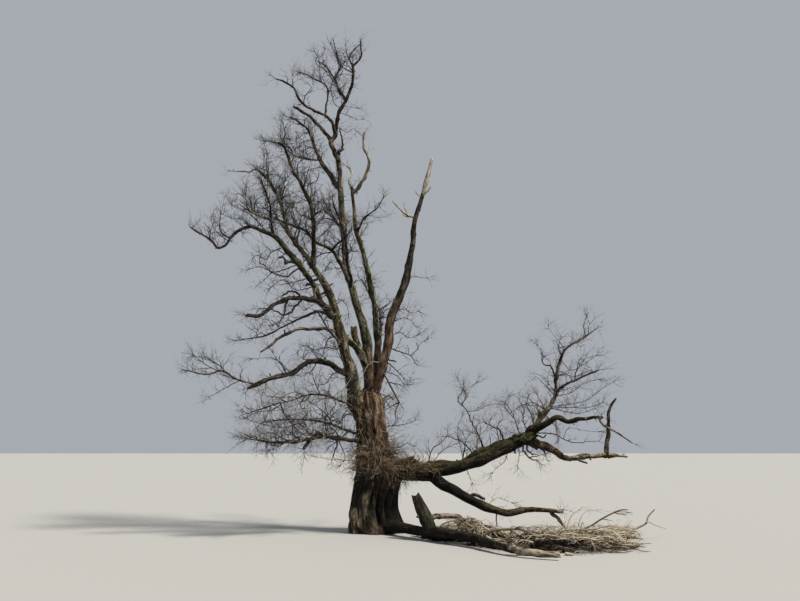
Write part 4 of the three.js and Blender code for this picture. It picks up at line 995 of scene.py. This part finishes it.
    "bole_right_upper": ("right_leader", 0.014, -0.3, 2.4, "branch", [(396, 312), (404, 309), (412, 313), (420, 311)]),
    "bole_right_middle": ("right_leader", 0.014, 0.4, 2.4, "branch", [(393, 324), (402, 318), (410, 320), (416, 327)]),
    "bole_right_lower": ("right_leader", 0.014, -0.4, 2.4, "branch", [(391, 336), (400, 333), (409, 338), (418, 335)]),
    "bole_right_back": ("right_leader", 0.014, 0.6, 2.2, "branch", [(388, 372), (397, 376), (404, 384), (411, 381)]),
    "leader_gap_left": ("left_leader", 0.014, 0.4, 2.2, "branch", [(333, 302), (341, 300), (347, 306), (349, 315)]),
    "leader_gap_middle": ("middle_leader", 0.014, -0.3, 2.0, "branch", [(350, 297), (357, 299), (362, 305)]),
    "leader_gap_right": ("back_leader", 0.014, -0.4, 2.0, "branch", [(377, 322), (383, 317), (389, 319)]),
    "gap_haze": ("left_leader", 0.014, 0.4, 2.8, "branch", [(318, 276), (325, 270), (331, 262), (336, 268)]),
    "gap_haze_left": ("left_leader", 0.014, 0.3, 2.4, "branch", [(322, 296), (314, 304), (305, 310), (298, 305)]),
    "knobbly_haze": ("knobbly_bough", 0.012, 0.3, 2.4, "branch", [(290, 300), (284, 306), (288, 314), (294, 318)]),
    "outer_haze_top": ("outer_left_branch", 0.014, 0.2, 2.6, "branch", [(256, 205), (250, 199), (244, 194), (247, 186)]),
    "net_haze_low": ("drooping_low_bough", 0.014, -0.4, 2.6, "branch", [(314, 432), (303, 429), (293, 433), (285, 430)]),
    "net_haze_far": ("drooping_low_bough", 0.014, -0.3, 2.6, "branch", [(302, 438), (290, 434), (277, 438), (263, 434)]),
    "net_haze_tip": ("drooping_low_bough", 0.014, 0.3, 2.6, "branch", [(284, 440), (273, 445), (262, 441), (252, 437)]),
    "back_leader_haze": ("back_leader", 0.014, 0.3, 2.2, "branch", [(356, 240), (362, 233), (367, 226), (364, 218)]),
    "bole_right_foot": ("trunk", 0.014, -0.2, 2.4, "branch", [(390, 446), (399, 447), (407, 443), (414, 447)]),
    "thicket_haze": ("upswept_bough", 0.014, 0.4, 2.8, "branch", [(545, 417), (553, 424), (560, 432), (556, 441)]),
    "thicket_haze_left": ("thicket_left", 0.012, 0.2, 2.8, "branch", [(514, 418), (508, 412), (504, 405), (509, 396)]),
    "ridge_whip_top": ("ridge_whip", 0.012, -0.2, 2.8, "branch", [(462, 405), (466, 396), (462, 388), (458, 380)]),
    "fork_knuckle": ("low_right_limb", 0.045, -0.2, 0.3, "stub", [(531, 441), (534, 447), (541, 448), (545, 453)]),
    "fork_knuckle_low": ("low_right_limb", 0.035, -0.3, 0.5, "stub", [(527, 443), (528, 451), (534, 454)]),
    "drooping_flap": ("drooping_broken_limb", 0.07, 0.05, 0.0, "stub", [(467, 495), (475, 495.5), (485, 499)]),
    "drooping_hanger": ("drooping_broken_limb", 0.024, -0.05, 0.0, "stub", [(496, 509), (496.3, 518), (496.5, 526)]),
    "drooping_pale_twig": ("drooping_broken_limb", 0.014, 0.4, 0.5, "spar", [(488, 503), (496, 498), (505, 500), (513, 503.5)]),
    "drooping_end_fork": ("drooping_broken_limb", 0.035, 0.1, 0.2, "spar", [(548, 509), (556, 511), (563, 510)]),
    "pale_log": ("fallen_limb", 0.085, -0.3, 0.0, "log",
                 [(505, 549), (514, 552), (523, 554), (535, 554.5), (548, 555.5), (559, 557)]),
    "slab_peg": ("torn_slab", 0.045, -0.1, 0.0, "stub", [(426, 517), (420, 516.5), (416.5, 517)]),
    "slab_ear": ("torn_slab", 0.05, -0.1, 0.0, "stub", [(419, 503), (415, 502), (413.5, 501.5)]),
}
TIP_SHARE = {"branch": 0.35, "spar": 0.5, "stub": 0.7, "log": 0.7}


shoots, dark_branches, pale_branches = [], [], []
for number, (name, entry) in enumerate(SMALL_BRANCHES.items()):
    bearer, radius, nearer, crowding, kind, pixels = entry
    start = nearest_seen(bearer, pixels[0])
    depths = start[1] + nearer * np.linspace(0, 1, len(pixels)) ** 0.8
    course = np.array([start] + [seen(pixel, depth) for pixel, depth in zip(pixels[1:], depths[1:])])
    girths = radius * np.linspace(1, TIP_SHARE[kind], len(pixels))
    line, radii, run = smooth(course, girths, 0.07)
    chance = random.Random(name)
    line[1:-1] += np.array([[chance.gauss(0, 0.35 * radius) for _ in range(3)] for _ in line[1:-1]])
    line[:, 2] = np.maximum(line[:, 2], radii + 0.005)
    if kind in ("stub", "log"):
        blunt = line[-1] + (line[-1] - line[-2]) * 0.2
        line, radii = np.concatenate([line, [blunt]]), np.append(radii, radii[-1])
    chosen = pale_branches if kind in ("spar", "log") else dark_branches
    chosen.append((list(line), list(radii), TRACED, chance.uniform(0.0, 0.3)))
    limbs[name] = (line, radii)
    if crowding:
        bear(shoots, line, radii, crowding, 0.62, 0.25, 0.8 if kind == "spar" else 0.45 if name.startswith(("thicket", "ridge")) else 0.12, 0.12, chance, (1, 2))

# The rest is grown along every limb. For each: how many branches it bears against the usual, how long
# they are, how much they turn up, the share that is bleached, and where they start, from 0 to 1.
BEARING = {
    "crown_tip_right": (1.1, 0.5, 0.1, 0.05, 0.1), "crown_tip_left": (1.1, 0.6, 0.3, 0.05, 0.1),
    "crown_spray": (1.1, 0.6, 0.3, 0.05, 0.1), "crown_back_branch": (1.0, 0.7, 0.3, 0.05, 0.15),
    "crown_left_bough": (0.9, 0.65, 0.3, 0.1, 0.35), "crown_inner_branch": (1.4, 0.7, 0.3, 0.1, 0.3),
    "upper_leader": (0.7, 0.6, 0.2, 0.1, 0.4), "high_left_bough": (1.7, 0.8, 0.3, 0.1, 0.3),
    "high_left_branch": (1.8, 0.8, 0.3, 0.1, 0.2), "long_left_bough": (1.5, 0.9, 0.3, 0.1, 0.45),
    "long_left_hook": (1.5, 0.7, 0.5, 0.15, 0.0), "fanned_left_bough": (3.7, 0.9, 0.3, 0.2, 0.15),
    "bleached_left_spar": (0.06, 0.3, 0.1, 0.8, 0.2), "inner_left_bough": (3.0, 0.85, 0.3, 0.1, 0.15),
    "rising_left_branch": (2.7, 0.75, 0.3, 0.15, 0.1), "outer_left_branch": (2.6, 0.7, 0.3, 0.25, 0.1),
    "crossing_bough": (2.6, 0.7, 0.2, 0.1, 0.15), "crossing_branch": (2.2, 0.6, 0.2, 0.1, 0.1),
    "back_leader_hook": (0.25, 0.3, 0.1, 0.7, 0.1), "back_leader_spar": (0.25, 0.3, 0.1, 0.6, 0.2),
    "back_leader_branch": (1.3, 0.45, 0.0, 0.2, 0.1), "back_leader": (0.8, 0.6, 0.1, 0.2, 0.35),
    "middle_leader": (1.0, 0.65, 0.2, 0.15, 0.4), "left_leader": (0.45, 0.75, 0.1, 0.15, 0.25),
    "rear_low_bough": (1.5, 0.85, 0.2, 0.1, 0.2), "rear_high_bough": (1.5, 0.85, 0.2, 0.1, 0.2),
    "front_high_bough": (1.4, 0.85, 0.2, 0.1, 0.2), "knobbly_bough": (0.6, 0.5, 0.0, 0.3, 0.2),
    "twiggy_bough": (1.5, 0.6, 0.1, 0.1, 0.45), "arching_bough": (1.1, 0.75, 0.1, 0.2, 0.25),
    "arching_bough_tip": (1.5, 0.6, 0.1, 0.1, 0.0), "forward_bough": (1.2, 0.8, 0.0, 0.25, 0.2),
    "flat_low_bough": (3.3, 0.8, -0.1, 0.45, 0.15), "drooping_low_bough": (4.2, 0.75, -0.05, 0.42, 0.25),
    "rear_left_low_bough": (3.2, 0.8, -0.05, 0.42, 0.15), "rear_right_low_bough": (0.8, 0.6, 0.0, 0.3, 0.3),
    "hanging_right_branch": (1.0, 0.5, -0.2, 0.3, 0.1), "low_right_ridge": (2.5, 0.7, 0.7, 0.5, 0.4),
    "upswept_bough": (2.1, 0.65, 0.3, 0.2, 0.1), "upswept_tip": (1.6, 0.5, 0.3, 0.2, 0.1),
    "upswept_side_branch": (1.3, 0.5, 0.1, 0.2, 0.1), "forward_right_bough": (0.2, 0.35, 0.1, 0.3, 0.2),
    "weeping_tip": (0.1, 0.15, 0.0, 0.5, 0.3), "drooping_broken_limb": (0.15, 0.25, 0.1, 0.6, 0.3),
}
for number, name in enumerate(slots):
    if name in BEARING:
        crowding, size, lift, bleached_share, first = BEARING[name]
        line, radii = limbs[name]
        bear(shoots, line, radii, crowding, size, lift, bleached_share, first, random.Random(number))

stick_tone = random.Random(5)


def toned(chosen):
    return [(places, radii, order, stick_tone.uniform(-0.15, 0.3)) for places, radii, order, _ in chosen]


branch_bark = stick_material("dark_branch_bark", [(0.2, "#0e0b08"), (0.55, "#2c251e"), (1.0, "#575045")], 0.85)
stick_pieces("small_branches", dark_branches, branch_bark)
stick_pieces("bleached_branches", pale_branches, bleached_bark)
stick_pieces("dark_twigs", toned([s for s in shoots if not s[3]]), twig_bark)
stick_pieces("bleached_twigs", toned([s for s in shoots if s[3]]), bleached_bark)

# The skirt of water shoots: thin weak stems that sprout from the bark of the bole and from the top of
# the low limb's foot. Most are dead: straw-coloured above, dark and drooping below.
skirt = []
chance = random.Random(77)


def sprout(height, bearing, droop, order, scale, dry):
    i = min(int(height / TRUNK_RING_STEP), len(around) - 1)
    j = int(bearing % (2 * math.pi) / (2 * math.pi) * TRUNK_SIDES)
    out = Vector((math.cos(bearing), math.sin(bearing), 0))
    across = Vector((-out.y, out.x, 0))
    scale *= 1 - 0.45 * max(0, -out.x)
    way = (out * 0.7 + across * chance.gauss(0, 0.9) + Vector((0, 0, chance.gauss(0.1 - droop, 0.6)))).normalized()
    grow(skirt, Vector(around[i, j]), way, order, scale, chance.uniform(0.006, 0.014), -droop, dry, chance, 0.4)


BOLE_SHOOTS, FRINGE_SHOOTS, LIMB_SHOOTS = 430, 220, 330
for _ in range(BOLE_SHOOTS):
    height = chance.uniform(2.1, 2.95) if chance.random() < 0.82 else chance.uniform(2.95, 5.0)
    sprout(height, math.radians(chance.gauss(-85, 85)), 0.2, 1, chance.uniform(0.45, 1.2), chance.random() < 0.6)
for _ in range(FRINGE_SHOOTS):
    sprout(chance.uniform(1.7, 2.2), math.radians(chance.gauss(-75, 80)), 0.9, 2, chance.uniform(0.8, 1.8), False)
line, radii = limbs["low_right_limb"]
for _ in range(LIMB_SHOOTS):
    i = int(chance.uniform(0.0, 0.3) * len(line))
    out = Vector((chance.gauss(0.25, 0.6), chance.gauss(-0.2, 0.7), chance.uniform(-0.1, 0.9))).normalized()
    start = Vector(line[i]) + out * radii[i] * 0.8
    grow(skirt, start, (out + Vector((0.3, 0, 0))).normalized(), 1, chance.uniform(0.3, 0.8), chance.uniform(0.006, 0.013),
         -0.5, chance.random() < 0.75, chance, 0.3)
straw_shoots = stick_material("dry_shoot_bark", [(0.12, "#2d2218"), (0.42, "#7d674d"), (0.78, "#cfbd9f")], 0.85)
stick_pieces("dark_water_shoots", toned([s for s in skirt if not s[3]]), twig_bark)
stick_pieces("dry_water_shoots", toned([s for s in skirt if s[3]]), straw_shoots)

# The brash: the broken crown of the fallen limb, dry and bleached, lying in a loose tangle. Long bent
# branches arch over ones on the ground that are painted dark as the shade under the heap; the ones
# that the photo shows are set one by one.
BRASH_FAN = (-36, 30)
BRASH_LONG, BRASH_BRANCHES, BRASH_LITTER = 120, 440, 460
LAY_CROOK = (0.05, 0.08, 0.12, 0.15)
# the litter on the ground is painted nearly black under the heaps, as their shade, and paler from here on
LITTER_SHADE_ENDS_AT = 6.3
# the low sticks end about here at the right, the nearer ones sooner, though a few risen ones reach further
BRASH_RIGHT_END = 8.75
# the upper edge of the brash where the viewer sees it, apart from the sticks that stand out of it
BRASH_SKYLINE = [(420, 522), (434, 518.5), (464, 517), (482, 523), (495, 530), (526, 531), (545, 532), (570, 531),
                 (600, 528), (625, 528), (650, 530)]
heaps = {}
for name in ("brash_behind_limb", "brash_heap", "brash_right_end"):
    node = frame["nodes"][name]
    tree = BVHTree.FromPolygons([v.co for v in node.data.vertices], [tuple(f.vertices) for f in node.data.polygons])
    heaps[name] = (tree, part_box(name), [])
BRASH_SEEN = {
    "long_arch": ("brash_heap", 0.05, -4.3, -0.5, [(484, 538), (490, 532), (497, 530), (512, 529), (525, 530.5), (538, 538)]),
    "basket_outer": ("brash_heap", 0.035, -4.6, -0.3, [(486, 536), (494, 541), (505, 546), (517, 549), (528, 550)]),
    "basket_inner": ("brash_heap", 0.03, -4.4, -0.2, [(497, 532), (507, 537), (517, 541), (526, 545)]),
    "basket_rib": ("brash_heap", 0.028, -4.2, -0.3, [(511, 532), (520, 535), (528, 540), (533, 546), (533, 553)]),
    "arch_second": ("brash_heap", 0.034, -3.9, 0.2, [(522, 530), (533, 532), (542, 538), (552, 545), (566, 552), (577, 555)]),
    "arch_third": ("brash_heap", 0.03, -3.7, 0.3, [(540, 536), (550, 541), (561, 547), (572, 551)]),
    "upright_peg": ("brash_heap", 0.035, -3.5, 0.0, [(541.5, 537), (542, 530), (542.5, 524)]),
    "leaning_peg": ("brash_heap", 0.035, -3.4, 0.1, [(539, 540), (546, 531), (551, 525)]),
    "far_sprig": ("brash_right_end", 0.018, -2.0, 0.2, [(566, 530), (571, 516.5), (577, 511.5), (583, 506)]),
    "far_sprig_right": ("brash_right_end", 0.015, -1.8, 0.2, [(578, 526), (583, 514), (591, 510.5), (604, 509)]),
    "dark_riser": ("brash_right_end", 0.035, -2.8, 0.5,
                   [(575, 534), (583, 529), (591, 526), (600, 520), (611, 514), (621, 510), (629, 510)]),
    "riser_fork": ("brash_right_end", 0.014, -2.4, 0.2, [(614, 513), (616, 508), (619, 506)]),
    "right_riser": ("brash_right_end", 0.042, -2.4, 0.6,
                    [(612, 541), (622, 535), (634, 529.5), (646, 523.5), (648, 517), (655.5, 508.5)]),
    "right_riser_fork": ("brash_right_end", 0.024, -2.1, 0.2, [(646, 522), (650, 522.5), (659, 526.5), (668, 529)]),
    "front_log": ("brash_right_end", 0.045, -3.3, -0.4, [(592, 538), (603, 543), (612, 548), (622, 551), (632, 551.5)]),
    "front_log_tip": ("brash_right_end", 0.018, -3.5, 0.2, [(630, 552), (642, 550.5), (653, 545.5)]),
    "dark_cross": ("brash_heap", 0.04, -3.6, -0.3, [(562, 540), (571, 545), (580, 549), (590, 552)]),
    "dark_cross_back": ("brash_heap", 0.03, -3.2, 0.2, [(570, 534), (580, 540), (590, 537), (598, 541)]),
    "short_log": ("brash_heap", 0.05, -6.0, -0.05, [(565, 553.5), (570, 556.5), (575, 560)]),
    "near_curl": ("brash_behind_limb", 0.03, -3.3, -0.3, [(457, 533), (459, 525), (463, 520), (469, 519)]),
    "near_log": ("brash_behind_limb", 0.045, -3.3, -0.8, [(474, 521), (482, 526), (490, 531), (496, 533)]),
    "near_log_low": ("brash_behind_limb", 0.03, -3.4, -0.8, [(463, 522), (472, 527), (480, 532), (487, 535)]),
    "near_arch": ("brash_behind_limb", 0.024, -3.1, -0.3, [(437, 530), (443, 524), (452, 521), (462, 524), (470, 530)]),
}


def heap_top(x, y):
    tops = [tree.ray_cast(Vector((x, y, 5)), Vector((0, 0, -1)))[0] for tree, _, _ in heaps.values()]
    column = pixels_of(np.array([[x, y, 0.5]]))[0, 0]
    skyline = seen((column, np.interp(column, *zip(*BRASH_SKYLINE))), y)[2]
    return min(max((top.z for top in tops if top), default=0), skyline)


def behind_limb(x, y):
    """Whether a place is on the tree's side of the fallen limb, in which the brash has caught."""
    line, radii = limbs["fallen_limb"]
    return y > np.interp(x, line[:, 0], line[:, 1], right=low_corner.y) + 0.05


def lay(sticks, start, bearing, length, girth, arch, order, chance, tone):
    """A dry crooked branch lying in the heap, with side branches and twigs."""
    step = (0.16, 0.13, 0.11, 0.13)[order]
    count = max(2, round(length / step))
    places, turn = [start], chance.gauss(0, 0.05)
    ragged = chance.uniform(0, 0.7)
    stands_out = max(min(chance.expovariate(7), 0.5), start.z - heap_top(start.x, start.y))
    for i in range(1, count + 1):
        turn = 0.3 * turn + chance.gauss(0, LAY_CROOK[order])
        bearing += turn
        rise = arch * math.cos(math.pi * (i - 0.5) / count) * math.pi / 2 + chance.gauss(0, LAY_CROOK[order])
        place = places[-1] + Vector((math.cos(bearing), math.sin(bearing), rise)) * step
        place.z = max(min(place.z, heap_top(place.x, place.y) + stands_out), girth + 0.01)
        right_end = BRASH_RIGHT_END - ragged - 0.35 * max(0, -3 - place.y)
        if not low_corner.x < place.x < right_end or not behind_limb(place.x, place.y):
            break
        places.append(place)
    if len(places) < 3:
        return
    count = len(places) - 1
    radii = [girth * (1 - 0.55 * i / count) for i in range(count + 1)]
    sticks.append((places, radii, order, tone))
    if order < 3:
        for _ in range(round(length / (0.22, 0.2, 0.13)[order] * chance.uniform(0.5, 1.1))):
            i = chance.randint(0, count - 1)
            side = bearing + chance.choice((-1, 1)) * math.radians(chance.uniform(25, 75))
            lay(sticks, places[i].copy(), side, length * chance.uniform(0.25, 0.5), radii[i] * 0.6,
                chance.gauss(0.3, 0.5), order + 1, chance, tone + chance.uniform(-0.1, 0.15))


chance = random.Random(31)
for name, (heap, radius, depth, nearer, pixels) in BRASH_SEEN.items():
    depths = depth + nearer * np.linspace(0, 1, len(pixels))
    course = np.array([seen(pixel, at) for pixel, at in zip(pixels, depths)])
    line, radii, _ = smooth(course, radius * np.linspace(1, 0.5, len(pixels)), 0.08)
    line[:, 2] = np.maximum(line[:, 2], radii + 0.005)
    tone = 0.05 if name.startswith("dark") else chance.uniform(0.3, 0.55)
    heaps[heap][2].append((list(line), list(radii), TRACED, tone))
    for _ in range(len(line) // (6 if heap == "brash_right_end" else 3)):
        i = chance.randint(1, len(line) - 2)
        way = math.atan2(*(line[i + 1] - line[i])[1::-1]) + chance.choice((-1, 1)) * math.radians(chance.uniform(20, 50))
        lay(heaps[heap][2], Vector(line[i]), way, chance.uniform(0.4, 0.9), radii[i] * 0.5, chance.gauss(0.3, 0.4), 2,
            chance, tone)
for number in range(BRASH_BRANCHES + BRASH_LITTER):
    tangled = number % 2
    heap = chance.choices(list(heaps), (12, 9, 1.6))[0]
    tree, (low, high), sticks = heaps[heap]
    x, y = low[0] + (high[0] - low[0]) * chance.random() ** 1.3, chance.uniform(low[1], high[1])
    if tree.ray_cast(Vector((x, y, 5)), Vector((0, 0, -1)))[0] is None or not behind_limb(x, y):
        continue
    bearing = math.radians(chance.uniform(*BRASH_FAN) + (180 if chance.random() < 0.3 else 0))
    height = heap_top(x, y)
    if number < BRASH_BRANCHES:
        # painted shade: the lower a branch lies in the heap, the darker its tone
        share = chance.uniform(0.1, 0.9)
        lay(sticks, Vector((x, y, share * height + 0.02)), bearing, chance.uniform(0.4, 1.3) * (1 - 0.4 * tangled),
            chance.uniform(0.012, 0.032) * (1 - 0.4 * tangled), chance.uniform(0.0, 0.5), 1, chance,
            -0.2 + 0.55 * share * (1 - 0.5 * tangled) + chance.gauss(0, 0.08))
    else:
        # painted shade: the litter under the heaps is nearly black
        lay(sticks, Vector((x, y, 0.03 + 0.5 * height * chance.random())), bearing, chance.uniform(0.4, 1.2),
            chance.uniform(0.018, 0.045), 0.05, 2, chance, -0.35 if x < LITTER_SHADE_ENDS_AT else -0.05)
for _ in range(BRASH_LONG):
    tree, (low, high), sticks = heaps[chance.choices(list(heaps), (3, 4, 1))[0]]
    x, y = chance.uniform(low[0], high[0]), chance.uniform(low[1], high[1])
    height = heap_top(x, y)
    if height > 0.1 and behind_limb(x, y):
        bearing = math.radians(chance.gauss(-8, 14) + (180 if chance.random() < 0.3 else 0))
        lay(sticks, Vector((x, y, height * chance.uniform(0.6, 1))), bearing, chance.uniform(0.9, 1.9),
            chance.uniform(0.012, 0.022), chance.uniform(0, 0.2), 0, chance, chance.uniform(0.45, 0.8))
dry_brash = stick_material("dry_brash", [(0.1, "#150f09"), (0.4, "#473b29"), (0.7, "#7f7058"), (1.0, "#c8bca4")], 0.85)
for name, (_, _, sticks) in heaps.items():
    for piece in stick_pieces(name + "_sticks", sticks, dry_brash):
        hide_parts(name)
